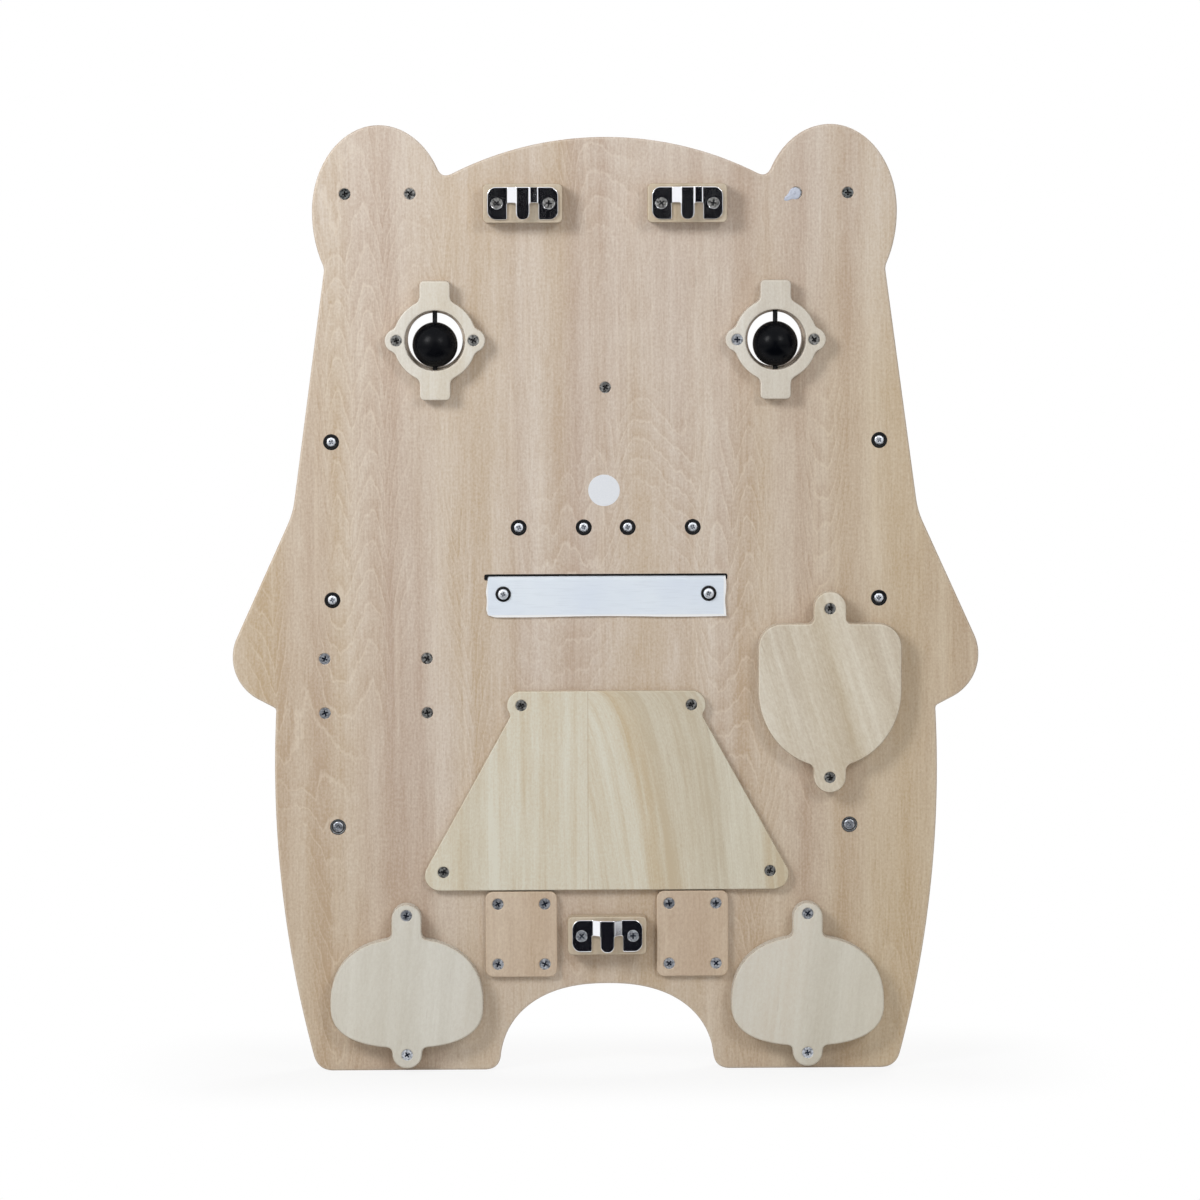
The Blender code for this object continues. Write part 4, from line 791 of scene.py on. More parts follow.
def plywood(
    name, *tones, slant=0, shift=(0, 0, 0), vees=0, bands=0.5, seam=None, ageing=0.4, grain=0.5, hair=0.4
):
    """Plywood: broad upright bands, nested vees that point down, mottled fibres, and plies on its edges.

    The tones are its palest wood, its deepest, a warmer deep one and the colour of its grain lines, which is
    also painted along its rounded rims as highlight or shade. Painted shade darkens it towards its sides and
    bottom.
    """
    pale, deep, warm, growth_and_painted_rim = [srgb(*tone) for tone in tones]
    wood = Shader(name, Specular_IOR_Level=0.3)
    x, y, z = wood.split(wood.place)
    lean = wood.times(z, slant)
    if seam is not None:
        past = wood.minus(seam, x)
        under = wood.math("SQRT", wood.math("MAXIMUM", wood.minus(COVER_TOP_Z - HANGER_Z, z), 0))
        share = wood.times(wood.math("GREATER_THAN", past, 0), wood.range(past, 0, 0.12, slant, 0.4 * slant))
        lean = wood.times(under, share)
    leaned = wood.plus(x, lean)
    place = wood.add("VectorMath", {0: wood.joined(leaned, y, z), 1: shift}, operation="ADD").outputs[0]

    def layer(scale, detail=2.0, roughness=0.5):
        return wood.noise(wood.mapped(scale, vector=place), 1, detail, roughness)

    heart = wood.size(wood.fused(layer((17, 3, 1.5), 1), 2, -1))
    jagged = wood.fused(layer((170, 20, 60), 2), 0.019, -0.0095)
    height = wood.plus(wood.fused(heart, -0.34, jagged), z)
    phase = wood.math("FRACT", wood.math("DIVIDE", height, VEE_SPACING))
    line = wood.times(wood.ease(phase, 0, 0.05), wood.ease(phase, 0.05, 0.18, 1, 0))
    after = wood.times(wood.ease(phase, 0.10, 0.20), wood.ease(phase, 0.2, 0.75, 1, 0))
    patch = wood.ease(layer((9, 1, 4), 2), 0.42, 0.56)
    near = wood.ease(heart, 0.06, 0.28, 1, 0)
    figure = wood.times(wood.times(patch, near), vees)

    broad = layer((36, 3, 1.0), 3, 0.55)
    cloudy = layer((120, 30, 28), 3, 0.6)
    fine = layer((420, 40, 9), 3, 0.65)
    hairs = layer((1000, 60, 55), 2, 0.6)
    mottled = layer((760, 760, 520), 2, 0.6)
    shade = wood.range(broad, 0.34, 0.66, 0.5 - bands / 2, 0.5 + bands / 2)
    for value, strength in ((cloudy, 0.55), (fine, grain), (hairs, hair), (mottled, 0.5 + hair)):
        shade = wood.plus(shade, wood.fused(value, strength, -strength / 2))
    shade = wood.plus(shade, wood.times(wood.times(after, figure), 0.18))
    shade = wood.range(shade, 0, 1)
    warmth = wood.ease(layer((15, 2, 0.9), 2), 0.40, 0.62)
    colour = wood.mix(shade, pale, wood.mix(warmth, deep, warm))
    colour = wood.mix(wood.times(wood.times(line, figure), 0.30), colour, growth_and_painted_rim)
    streak = wood.range(layer((260, 20, 6), 2), 0.60, 0.74)
    colour = wood.mix(wood.times(streak, 0.25 * hair), colour, growth_and_painted_rim)
    # Painted shade: darker and yellower towards both sides, more so towards -X, and towards the bottom, weaker
    # above z 0, standing in for the light falling off over the board.
    outward = wood.fused(x, -0.25, wood.size(x))
    painted_falloff = wood.plus(wood.range(outward, 0.06, 0.25, 0, 0.95), wood.range(z, -0.36, -0.55, 0, 0.4))
    painted_falloff = wood.times(painted_falloff, wood.range(z, 0, -0.12, 0.2 * ageing, ageing))
    colour = wood.mix(painted_falloff, colour, wood.mix(1, colour, (0.93, 0.88, 0.75, 1), "MULTIPLY"))
    fleck = wood.range(layer((700, 300, 70), 1), 0.70, 0.80)
    colour = wood.mix(wood.times(fleck, 0.16), colour, srgb(140, 110, 84))
    if seam is not None:
        joint = wood.range(wood.size(wood.minus(x, seam)), 0.0002, 0.0005, 0.30, 0)
        colour = wood.mix(joint, colour, srgb(180, 152, 116))

    facing = wood.size(wood.split(wood.normal)[1])
    # Painted light on the rounded rims: a band in the grain-line colour, a highlight where that colour is
    # paler than the wood and a shade where it is darker.
    rim = wood.times(wood.range(facing, 0.995, 0.93), wood.range(facing, 0.75, 0.9))
    colour = wood.mix(wood.times(rim, 0.35), colour, growth_and_painted_rim)
    on_edge = wood.ease(facing, 0.75, 0.35)
    layer_at = wood.math("PINGPONG", wood.math("DIVIDE", wood.plus(y, WALL_DEPTH), PLY), 1)
    crossed = wood.ease(layer_at, 0.42, 0.58)
    speckle = wood.noise(wood.mapped((900, 500, 900)), 1, 2)
    end_grain = wood.mix(wood.range(speckle, 0.3, 0.7), deep, srgb(150, 116, 82))
    colour = wood.mix(wood.times(on_edge, 0.85), colour, wood.mix(crossed, pale, end_grain))

    relief = wood.plus(wood.times(fine, 0.6), mottled)
    wood.set(Base_Color=colour, Roughness=wood.range(mottled, 0.3, 0.7, 0.50, 0.64))
    wood.set(Normal=wood.bump(relief, 0.12, 0.0003))
    return wood.material


def painted(name, colour, worn, roughness=0.42):
    """Paint over wood: a soft orange peel, a trace of the grain, and rubbed edges."""
    colour, worn = srgb(*colour), srgb(*worn)
    paint = Shader(name, Specular_IOR_Level=0.45)
    grain = paint.noise(paint.mapped((500, 500, 40)), 1, 3)
    peel = paint.noise(paint.place, 900, 2)
    cloudy = paint.noise(paint.place, 30, 3)
    pointed = paint.range(paint.add("NewGeometry").outputs["Pointiness"], 0.52, 0.60)
    rubbed = paint.times(pointed, paint.range(paint.noise(paint.place, 160, 3), 0.45, 0.6))
    tone = paint.mix(paint.range(cloudy, 0.3, 0.7, 0, 0.30), colour, paint.mix(1, colour, colour, "MULTIPLY"))
    tone = paint.mix(paint.range(grain, 0.55, 0.75, 0, 0.20), tone, worn)
    paint.set(Base_Color=paint.mix(paint.times(rubbed, 0.5), tone, worn))
    paint.set(Roughness=paint.range(cloudy, 0.3, 0.7, roughness - 0.05, roughness + 0.08))
    height = paint.plus(peel, paint.times(grain, 1.5))
    paint.set(Normal=paint.bump(height, 0.10, 0.0002))
    return paint.material


def metal(name, colour, roughness, brushed=(900, 900, 900), spots=0.25, dirt=None, relief=0.06, cells=260):
    """Plated steel with faint clouds and scratches."""
    colour = srgb(*colour)
    dirt = srgb(*dirt) if dirt else None
    steel = Shader(name, Metallic=1.0)
    clouds = steel.noise(steel.place, cells, 3)
    scratch = steel.noise(steel.mapped(brushed), 1, 3, 0.7)
    shade = steel.range(clouds, 0.35, 0.65, 0, spots)
    steel.set(Base_Color=steel.mix(shade, colour, dirt or steel.mix(1, colour, colour, "MULTIPLY")))
    steel.set(Roughness=steel.range(scratch, 0.3, 0.7, roughness * 0.75, roughness * 1.35))
    steel.set(Normal=steel.bump(scratch, relief, 0.0001))
    return steel.material


def black_finish(name, colour, roughness, metallic=0.0, gloss=0.5):
    """Black lacquer or black oxide, not quite even."""
    colour = srgb(*colour)
    black = Shader(name, Metallic=metallic, Specular_IOR_Level=gloss)
    clouds = black.noise(black.place, 90, 3)
    pits = black.noise(black.place, 1400, 2)
    dusty = black.mix(0.5, colour, srgb(22, 22, 25))
    black.set(Base_Color=black.mix(black.range(clouds, 0.35, 0.65), colour, dusty))
    black.set(Roughness=black.range(clouds, 0.3, 0.7, roughness - 0.05, roughness + 0.08))
    black.set(Normal=black.bump(pits, 0.08, 0.0001))
    return black.material


def woven(name):
    """A close plain weave in two thread directions."""
    cloth = Shader(name, Roughness=0.9, Specular_IOR_Level=0.2)
    cloth.set(Sheen_Weight=0.25, Sheen_Roughness=0.4)
    x, y, z = cloth.split(cloth.place)
    threads = [cloth.math("SINE", cloth.times(way, 2 * math.pi / THREAD)) for way in (x, z)]
    weave = cloth.times(*threads)
    slubs = cloth.noise(cloth.mapped((60, 60, 900)), 1, 3)
    clouds = cloth.noise(cloth.place, 22, 3)
    tone = cloth.mix(cloth.range(clouds, 0.3, 0.7), srgb(240, 248, 255), srgb(230, 239, 251))
    tone = cloth.mix(cloth.range(slubs, 0.5, 0.75, 0, 0.20), tone, srgb(198, 206, 217))
    tone = cloth.mix(cloth.range(weave, -1, 1, 0.10, 0), tone, srgb(176, 184, 196))
    # Painted highlight: the rear tail is brightened along its low edge and its sides, where the cloth's thin
    # edge catches the light.
    above_low_edge = cloth.minus(z, CLOTH_SLOT_Z - CLOTH_TAIL - HANGER_Z)
    beside = cloth.minus(CLOTH_HALF_WIDTH, cloth.size(x))
    painted_edge_highlight = cloth.ease(cloth.math("MINIMUM", above_low_edge, beside), 0.0007, 0.0016, 0.8, 0)
    painted_edge_highlight = cloth.times(painted_edge_highlight, cloth.math("GREATER_THAN", y, -WALL_DEPTH - BOARD_THICK / 2))
    cloth.set(Base_Color=cloth.mix(painted_edge_highlight, tone, srgb(255, 254, 252)))
    cloth.set(Normal=cloth.bump(cloth.plus(weave, slubs), 0.25, 0.0001))
    return cloth.material


def plush(name):
    """Short pile, lighter where it catches the light at its tips."""
    pile = Shader(name, Roughness=0.95, Specular_IOR_Level=0.1)
    pile.set(Sheen_Weight=0.8, Sheen_Roughness=0.35)
    tufts = pile.noise(pile.place, 700, 4, 0.7)
    brushed = pile.noise(pile.mapped((90, 90, 45)), 1, 3)
    tone = pile.mix(pile.range(tufts, 0.3, 0.7), srgb(176, 158, 140), srgb(222, 209, 192))
    pile.set(Base_Color=pile.mix(pile.range(brushed, 0.35, 0.65, 0, 0.35), tone, srgb(165, 146, 128)))
    pile.set(Normal=pile.bump(tufts, 0.8, 0.0008))
    return pile.material


def mirror(name):
    glass = Shader(name, Metallic=1.0)
    haze = glass.noise(glass.place, 60, 3)
    broad = glass.noise(glass.place, 9, 2)
    glass.set(Base_Color=glass.mix(glass.ease(broad, 0.4, 0.6), srgb(190, 200, 208), srgb(222, 228, 232)))
    glass.set(Roughness=glass.range(haze, 0.4, 0.8, 0.015, 0.05))
    return glass.material


def sticker_paper(name):
    paper = Shader(name, Specular_IOR_Level=0.5)
    fibres = paper.noise(paper.place, 1500, 3)
    gloss = paper.noise(paper.place, 120, 2)
    mottle = paper.range(fibres, 0.35, 0.65, 0, 0.3)
    paper.set(Base_Color=paper.mix(mottle, srgb(238, 241, 246), srgb(222, 227, 235)))
    paper.set(Roughness=paper.range(gloss, 0.3, 0.7, 0.30, 0.42), Normal=paper.bump(fibres, 0.05, 0.0001))
    return paper.material


def wood(slot, *what, **figure):
    return plywood(*what, **figure), slot


def paint(slot, *what):
    return painted(*what), slot


def zinc(name, colour, roughness, spots, dirt, **more):
    return metal(name, colour, roughness, spots=spots, dirt=dirt, **more), "zinc_steel"


BOARD = wood("board_wood", "board_wood", (224, 212, 199), (192, 170, 153), (197, 175, 148), (237, 225, 209),
             vees=1.0, bands=0.6, ageing=1.0, hair=0.8, shift=(0.02, 0, 0.13))
STRIP = wood("board_wood", "strip_wood", (221, 204, 183), (191, 166, 143), (197, 172, 143), (229, 212, 188),
             vees=0.5, shift=(0.7, 0.3, 0.2))
PALE = wood("pale_wood", "pale_wood", (234, 230, 221), (208, 199, 185), (214, 203, 182), (240, 234, 222),
            vees=0.2, shift=(0.3, 0.9, 0.4))
FOOT = wood("pale_wood", "foot_wood", (231, 229, 221), (211, 206, 194), (215, 204, 188), (201, 188, 166),
            slant=0.1, vees=0.3, hair=0.2, shift=(1.3, 0.1, 0.6))
SLANT = wood("pale_wood", "slanted_wood", (231, 224, 210), (196, 181, 162), (204, 189, 162), (240, 233, 216),
             slant=-0.30, bands=0.8, vees=0.6, grain=0.8, shift=(0.2, 0.5, 0.3))
COVER = wood("cover_wood", "cover_wood", (228, 224, 208), (203, 191, 168), (206, 187, 155), (234, 228, 210),
             slant=0.12, bands=1.1, grain=1.0, shift=(0.1, 0.2, 0.9), seam=0.0118)
TAN = wood("pale_wood", "tan_wood", (214, 202, 182), (190, 172, 148), (196, 177, 146), (228, 218, 198),
           vees=0.3, shift=(0.9, 0.2, 0.7))
BROWN = paint("painted_wood", "painted_wood", (172, 112, 82), (206, 172, 140))
DARK = paint("painted_wood", "dark_painted_wood", (88, 62, 50), (170, 136, 108))
WHITE = paint("white_paint", "white_paint", (232, 229, 221), (214, 204, 186))
FILLER = paint("white_paint", "white_filler", (204, 210, 224), (140, 146, 162))
BALL = black_finish("black_ball", (5, 7, 12), 0.26, gloss=0.08), "black_ball"
ROD = black_finish("black_steel", (30, 30, 31), 0.32, 0.6), "black_steel"
RUBBER = black_finish("black_ring", (18, 18, 20), 0.45, gloss=0.25), "black_steel"
STEEL = zinc("zinc_steel", (246, 247, 251), 0.12, 0.1, None, brushed=(2500, 300, 60), relief=0.015)
DULL = zinc("dull_zinc", (190, 190, 188), 0.42, 1.0, (64, 63, 62), cells=640)
WORN = zinc("worn_zinc", (150, 154, 154), 0.38, 1.0, (30, 32, 34), cells=640)
CLEAN = zinc("clean_zinc", (216, 220, 227), 0.42, 0.9, (112, 117, 127), cells=640)
PAN = zinc("pan_zinc", (240, 244, 250), 0.5, 0.35, (196, 202, 212))
GREY = zinc("grey_ring", (158, 162, 166), 0.38, 0.5, (104, 108, 112))
# Painted shade: darker copies of the zinc for the faces inside the screws' cross recesses, where little light
# gets in.
RECESS_SHADE = metal("recess_shade_zinc", (76, 86, 108), 0.5, spots=0.5, dirt=(36, 41, 54))
DULL_RECESS_SHADE = metal("dull_recess_shade", (96, 96, 98), 0.5, spots=0.7, dirt=(40, 40, 44))
PAN_RECESS_SHADE = metal("pan_recess_shade", (160, 166, 178), 0.4, spots=0.5, dirt=(74, 80, 94))
MIRROR = mirror("mirror_face"), "mirror_face"
CLOTH = woven("white_cloth"), "white_cloth"
PLUSH = plush("soft_plush"), "soft_plush"
PAPER = sticker_paper("sticker_paper"), "white_cloth"


# The board


def board_half():
    """Half of the bear's outline, from the top of its head to the top of the arch between its feet."""
    crown_z = BOARD_HEIGHT - CROWN_DROP
    ear = ear_centre()
    crown_radius = (ear[0] ** 2 + CROWN_SAG**2) / (2 * CROWN_SAG)
    crown_end = 90 - math.degrees(math.asin(ear[0] / crown_radius))
    crown = arc((0, crown_z - crown_radius), (crown_radius, crown_radius), 90, crown_end, 8)
    ear_top = arc(ear, (EAR_HALF_WIDTH, EAR_RISE - TRIM), 185, 0, 14)
    ear_low = arc(ear, (EAR_HALF_WIDTH, EAR_FALL), 0, -80, 5)
    neck = Vector((PLACES["neck"][0], BOARD_HEIGHT - NECK_DROP))
    shoulder = Vector(PLACES["shoulder"])
    up = (neck - shoulder).normalized() * NECK_REACH
    paw = PLACES["paw"]
    touch = tangent_angle(shoulder, paw, PAW_RADIUS)
    paw_arc = arc(paw, (PAW_RADIUS - TRIM, PAW_RADIUS - TRIM), touch, PAW_UNDER_ANGLE, 8)
    arm_start = shoulder + (shoulder - paw_arc[0]).normalized() * NECK_REACH
    under = math.radians(PAW_UNDER_ANGLE)
    paw_end = paw_arc[-1] + Vector((math.sin(under), -math.cos(under))) * PAW_RADIUS
    hip_z = PLACES["hip"][1]
    waist = (HIP_HALF_WIDTH - HIP_RADIUS, hip_z)
    hip_top = math.degrees(math.asin((paw[1] - hip_z) / HIP_RADIUS))
    hip_low = -math.degrees(math.asin((hip_z + NECK_REACH) / HIP_RADIUS))
    hip = arc(waist, (HIP_RADIUS, HIP_RADIUS), hip_top, hip_low, 8)
    floor = line((HIP_HALF_WIDTH, 0), (0, 0))
    arch = arc((0, 0), (ARCH_OPENING, ARCH_RISE), -10, 90, 10, ARCH_FULL)
    half = blended(crown, ear_top + ear_low[1:], CROWN_BLEND, 4)
    half = blended(half, [neck + up, shoulder - up], NECK_BLEND)
    half = blended(half, [arm_start] + paw_arc + [paw_end], SHOULDER_BLEND)
    half = blended(half, hip, PAW_NOTCH_BLEND)
    half = blended(half, floor, FOOT_CORNER)
    return blended(half, arch, FOOT_CORNER)


def ear_centre():
    return PLACES["ear"][0], BOARD_HEIGHT - EAR_RISE


def cover_corner():
    return (COVER_HALF_WIDTH - COVER_CORNER, COVER_BOTTOM_Z + COVER_CORNER)


def cover_slant():
    """The angle at which the tummy cover's side leaves its bottom corner, in degrees."""
    return tangent_angle((COVER_WAIST_X, COVER_WAIST_Z), cover_corner(), COVER_CORNER)


def pocket_outline():
    """The rail pocket: the cover's trapezoid, drawn in by its lap."""
    slant = math.radians(cover_slant())
    corners = []
    for z in (COVER_BOTTOM_Z + POCKET_LAP, COVER_TOP_Z - POCKET_LAP):
        x = COVER_WAIST_X + (COVER_WAIST_Z - z) * math.tan(slant) - POCKET_LAP / math.cos(slant)
        corners.append((x, z))
    (low_x, low_z), (high_x, high_z) = corners
    ends = [(-low_x, low_z), (low_x, low_z), (high_x, high_z), (-high_x, high_z)]
    return rounded([(x, z, POCKET_CORNER) for x, z in ends])


def foot_half(inset=0.0, full=(2.0, 2.0)):
    return egg_half(FOOT_HALF_WIDTH - inset, FOOT_RISE - inset, FOOT_FALL - inset, full)


def acorn_half(inset=0.0):
    """Half an acorn: a flat top with round corners over a deep round bowl."""
    side, top = ACORN_HALF_WIDTH - inset, ACORN_RISE - inset
    upper = stretch((0, top, 0), (side, top, ACORN_CORNER - inset), (side, 0, 0))
    return upper + arc((0, 0), (side, ACORN_FALL - inset), 0, -90, 8)[1:]


def four_screws(x, z, beside, over):
    return [(x + way * beside, z + sign * over) for way in (-1, 1) for sign in (-1, 1)]


SLIDE_ENDS = {
    "left": ((-SLOT_LOW_X, SLOT_LOW_Z), (-SLOT_HIGH_X, SLOT_HIGH_Z)),
    "middle": ((0, SLOT_LOW_Z), (0, SLOT_HIGH_Z)),
    "right": ((SLOT_LOW_X, SLOT_LOW_Z), (SLOT_HIGH_X, SLOT_HIGH_Z)),
}
EAR_SCREWS = [
    (sign * (ear_centre()[0] + offset), ear_centre()[1] + EAR_SCREW_LIFT)
    for side, sign in SIDES
    for offset in EAR_SCREW_INSETS[side]
]
LATCH_SCREWS = four_screws(LATCH_X, LATCH_Z, LATCH_SCREW_X, LATCH_SCREW_Z)
SIDE_SCREWS = [
    (sign * SIDE_WIRE_X, SIDE_WIRE_LOW_Z + rise) for _, sign in SIDES for rise in (0, SIDE_WIRE_SPAN)
]
MOUTH_SCREWS = [(sign * x, MOUTH_Z) for _, sign in SIDES for x in (MOUTH_INNER_X, MOUTH_OUTER_X)]


def make_board():
    holes = [stadium(low, high, STEM_RADIUS + RUNNING_GAP) for low, high in SLIDE_ENDS.values()]
    holes.append(moved(mirrored(acorn_half(ACORN_LAP)), -ACORN_X, ACORN_Z))
    cutters = []
    for side, sign in SIDES:
        holes.append(circle(EYE_HOLE_RADIUS, sign * EYE_X, EYE_Z))
        holes.append(moved(mirrored(foot_half(FOOT_LAP)), sign * FOOT_X, FOOT_Z))
        holes.append(circle(DIAL_STEM_RADIUS + RUNNING_GAP, sign * DIAL_X, DIAL_Z))
        at = (sign * DIAL_X, 0, DIAL_Z)
        cutters.append(bore(DIAL_DISC_RADIUS + RUNNING_GAP, OVERRUN, -DIAL_POCKET_DEPTH, at, REAR_SIDE, 64))
        x, z = PLACES[f"wheel_{side}"]
        shaft = PIVOT_SHANK_RADIUS + SEAT_GAP
        profile = [
            (0, OVERRUN),
            (WELL_RADIUS, OVERRUN),
            (WELL_RADIUS, -WELL_DEPTH),
            (shaft, -WELL_DEPTH),
            (shaft, -BOARD_THICK - OVERRUN),
            (0, -BOARD_THICK - OVERRUN),
        ]
        cutters.append(turned(profile, (x, 0, z), REAR_SIDE, steps=SMALL_STEPS))
    cutters.append(slab(pocket_outline(), POCKET_DEPTH + OVERRUN, (0, -POCKET_DEPTH, 0)))
    slot = rectangle(2 * CLOTH_SLOT_HALF_WIDTH, CLOTH_SLOT_HEIGHT, CLOTH_SLOT_HEIGHT / 3)
    through = BOARD_THICK + 2 * OVERRUN
    cutters.append(slab(slot, through, (0, -BOARD_THICK - OVERRUN, CLOTH_SLOT_Z)))
    cutters += [seat(x, z, 0) for x, z in [*EAR_SCREWS, *LATCH_SCREWS, (0, NOSE_Z)]]
    for places, radius in ((SIDE_SCREWS, SIDE_WIRE_RADIUS), (MOUTH_SCREWS, MOUTH_WIRE_RADIUS)):
        for x, z in places:
            cutters.append(bore(WELL_RADIUS, OVERRUN, -WELL_DEPTH, (x, 0, z), REAR_SIDE))
            deep = SOCKET_DEPTH - BOARD_THICK
            cutters.append(bore(radius + SEAT_GAP, deep, -BOARD_THICK - OVERRUN, (x, 0, z), REAR_SIDE))
    outline = mirrored(board_half())
    board = slab(outline, BOARD_THICK, (0, -BOARD_THICK, 0), BOARD_EDGE, holes)
    dress(combine(board, cutters), BOARD, "board")


# Rear side


def make_eye(side, x):
    top = BEZEL_HEIGHT / 2
    width = BEZEL_TAB_WIDTH / 2
    tab = stretch((0, top, 0), (width, top, BEZEL_TAB_CORNER), (width, 0, 0))
    ring = arc((0, 0), (BEZEL_RADIUS, BEZEL_RADIUS), 90, 0, 10)
    lug = arc((BEZEL_LUG_X, 0), (BEZEL_LUG_RADIUS, BEZEL_LUG_RADIUS), 150, 0, 6)
    outline = quartered(blended(blended(tab, ring, BEZEL_TAB_BLEND), lug, BEZEL_LUG_BLEND))
    at = (x, SEAT_GAP, EYE_Z)
    bezel = slab(outline, BEZEL_THICK, at, BEZEL_EDGE, [circle(BEZEL_HOLE_RADIUS)])
    rear = SEAT_GAP + BEZEL_THICK
    groove_width = 2 * (AXLE_RADIUS + SEAT_GAP)
    groove = rectangle(groove_width, AXLE_LENGTH + 2 * SEAT_GAP, 0)
    cutters = [slab(groove, SEAT_GAP + groove_width + OVERRUN, (x, -OVERRUN, EYE_Z))]
    cutters += [seat(x + sign * BEZEL_LUG_X, EYE_Z, rear) for sign in (-1, 1)]
    dress(combine(bezel, cutters), PALE, f"eye_bezel_{side}")
    axle_y = 2 * SEAT_GAP + AXLE_RADIUS
    half = AXLE_LENGTH / 2
    ends = (AXLE_RADIUS, half, SEAT_GAP), (AXLE_RADIUS, -half, SEAT_GAP)
    rod = stretch((0, half, 0), *ends, (0, -half, 0), steps=1)
    axle = turned(rod, (x, axle_y, EYE_Z), UPRIGHT, steps=SMALL_STEPS)
    dress(axle, ROD, f"eye_axle_{side}")
    drop = EYE_HOLE_RADIUS - BALL_RADIUS - SEAT_GAP
    profile = bored_ball(BALL_RADIUS, AXLE_RADIUS + RUNNING_GAP)
    ball = turned(profile, (x, axle_y, EYE_Z - drop), UPRIGHT, closed=True)
    dress(ball, BALL, f"eye_ball_{side}")


def plate_plan():
    """A hanger plate seen square on: two flanges, the bridge between them and the tongue below it."""
    wide, high = PLATE_WIDTH / 2, PLATE_HEIGHT / 2
    foot, tongue = BRIDGE_WIDTH / 2, TONGUE_WIDTH / 2
    slot_top = high - BRIDGE_HEIGHT
    half = stretch(
        (0, high, 0),
        (wide, high, PLATE_CORNER),
        (wide, -high, PLATE_CORNER),
        (foot, -high, BEND_RADIUS),
        (foot, slot_top, BEND_RADIUS),
        (tongue, slot_top, BEND_RADIUS),
        (tongue, -high, TONGUE_ROUND),
        (0, -high, 0),
    )
    return mirrored(half)


def bridge_rise(along):
    """How far the sheet's middle stands off its flanges, at this distance from the plate's middle line."""
    share = min(1.0, max(0.0, (BRIDGE_WIDTH / 2 - abs(along)) / BRIDGE_SLOPE))
    near = min(share, 1 - share)
    rise = near**2 / (2 * BRIDGE_EASE) if near < BRIDGE_EASE else near - BRIDGE_EASE / 2
    rise /= 1 - BRIDGE_EASE
    return BRIDGE_RISE * (rise if share < 0.5 else 1 - rise)


def make_hanger(name, x, z):
    block_outline = rectangle(BLOCK_WIDTH, BLOCK_HEIGHT, BLOCK_CORNER)
    block = slab(block_outline, BLOCK_THICK, (x, SEAT_GAP, z), BLOCK_EDGE)
    insets = [sign * (PLATE_WIDTH / 2 - PLATE_SCREW_INSET) for sign in (-1, 1)]
    top = SEAT_GAP + BLOCK_THICK
    spans = HANGER_BORE_RADIUS, OVERRUN, -CSK_DEPTH
    bores = [bore(*spans, (x + inset, top, z), REAR_SIDE) for inset in insets]
    dress(combine(block, bores), TAN, f"hanger_block_{name}")
    holes = [circle(PLATE_HOLE_RADIUS, inset) for inset in insets]
    at = (0, -SHEET / 2, 0)
    plate = slab(plate_plan(), SHEET, at, PLATE_EDGE, holes)
    shaped = bmesh.new()
    shaped.from_mesh(plate.data)
    for step in range(BENDS + 1):
        for sign in (-1, 1):
            reach = sign * (BRIDGE_WIDTH / 2 - BRIDGE_SLOPE * step / BENDS)
            everything = shaped.verts[:] + shaped.edges[:] + shaped.faces[:]
            bmesh.ops.bisect_plane(shaped, geom=everything, plane_co=(reach, 0, 0), plane_no=(1, 0, 0))
    for vert in shaped.verts:
        along, off, _ = vert.co
        slope = (bridge_rise(along + WELD) - bridge_rise(along - WELD)) / (2 * WELD)
        length = math.hypot(1, slope)
        vert.co.x -= off * slope / length
        vert.co.y = bridge_rise(along) + off / length
    shaped.to_mesh(plate.data)
    shaped.free()
    middle = SEAT_GAP + BLOCK_THICK + SEAT_GAP + SHEET / 2
    plate.data.transform(Matrix.Translation((x, middle, z)))
    dress(plate, STEEL, f"hanger_plate_{name}", smooth_under=40)


def make_tummy_cover():
    radii = (COVER_LOBE_RADIUS, COVER_LOBE_RADIUS)
    lobe_z = COVER_TOP_Z - COVER_LOBE_RADIUS
    top = line((0, COVER_TOP_Z)) + arc((COVER_LOBE_X, lobe_z), radii, 90, -80, 10)
    corner = arc(cover_corner(), (COVER_CORNER, COVER_CORNER), cover_slant(), -90, 6)
    waist = Vector((COVER_WAIST_X, COVER_WAIST_Z))
    side = [waist + (waist - corner[0]).normalized() * COVER_LOBE_RADIUS] + corner
    half = blended(top, side, COVER_LOBE_BLEND) + line((0, COVER_BOTTOM_Z))
    cover = slab(mirrored(half), COVER_THICK, (0, SEAT_GAP, 0), COVER_EDGE)
    dress(combine(cover, [seat(*at, SEAT_GAP + COVER_THICK) for at in COVER_SCREWS]), COVER, "tummy_cover")


COVER_SCREWS = [
    place
    for sign in (-1, 1)
    for place in (
        (sign * COVER_LOBE_X, COVER_TOP_Z - COVER_LOBE_RADIUS),
        (sign * (COVER_HALF_WIDTH - COVER_SCREW_INSET), COVER_BOTTOM_Z + COVER_SCREW_INSET),
    )
]


def make_climber(name, low):
    tail = BOARD_THICK - POCKET_DEPTH + RUNNING_GAP + SLIDE_DISC_THICK
    profile = stretch(
        (0, SLIDE_KNOB_HEIGHT, 0),
        (SLIDE_KNOB_RADIUS, SLIDE_KNOB_HEIGHT, SLIDE_KNOB_RADIUS / 2),
        (SLIDE_KNOB_RADIUS, SLIDE_NECK_HEIGHT, BOARD_EDGE),
        (SLIDE_NECK_RADIUS, SLIDE_NECK_HEIGHT, 0),
        (SLIDE_NECK_RADIUS, RUNNING_GAP, 0),
        (STEM_RADIUS, RUNNING_GAP, 0),
        (STEM_RADIUS, -tail, 0),
        (0, -tail, 0),
    )
    knob = turned(profile, (low[0], -BOARD_THICK, low[1]), PLAY_SIDE)
    dress(knob, BROWN, f"climber_{name}")


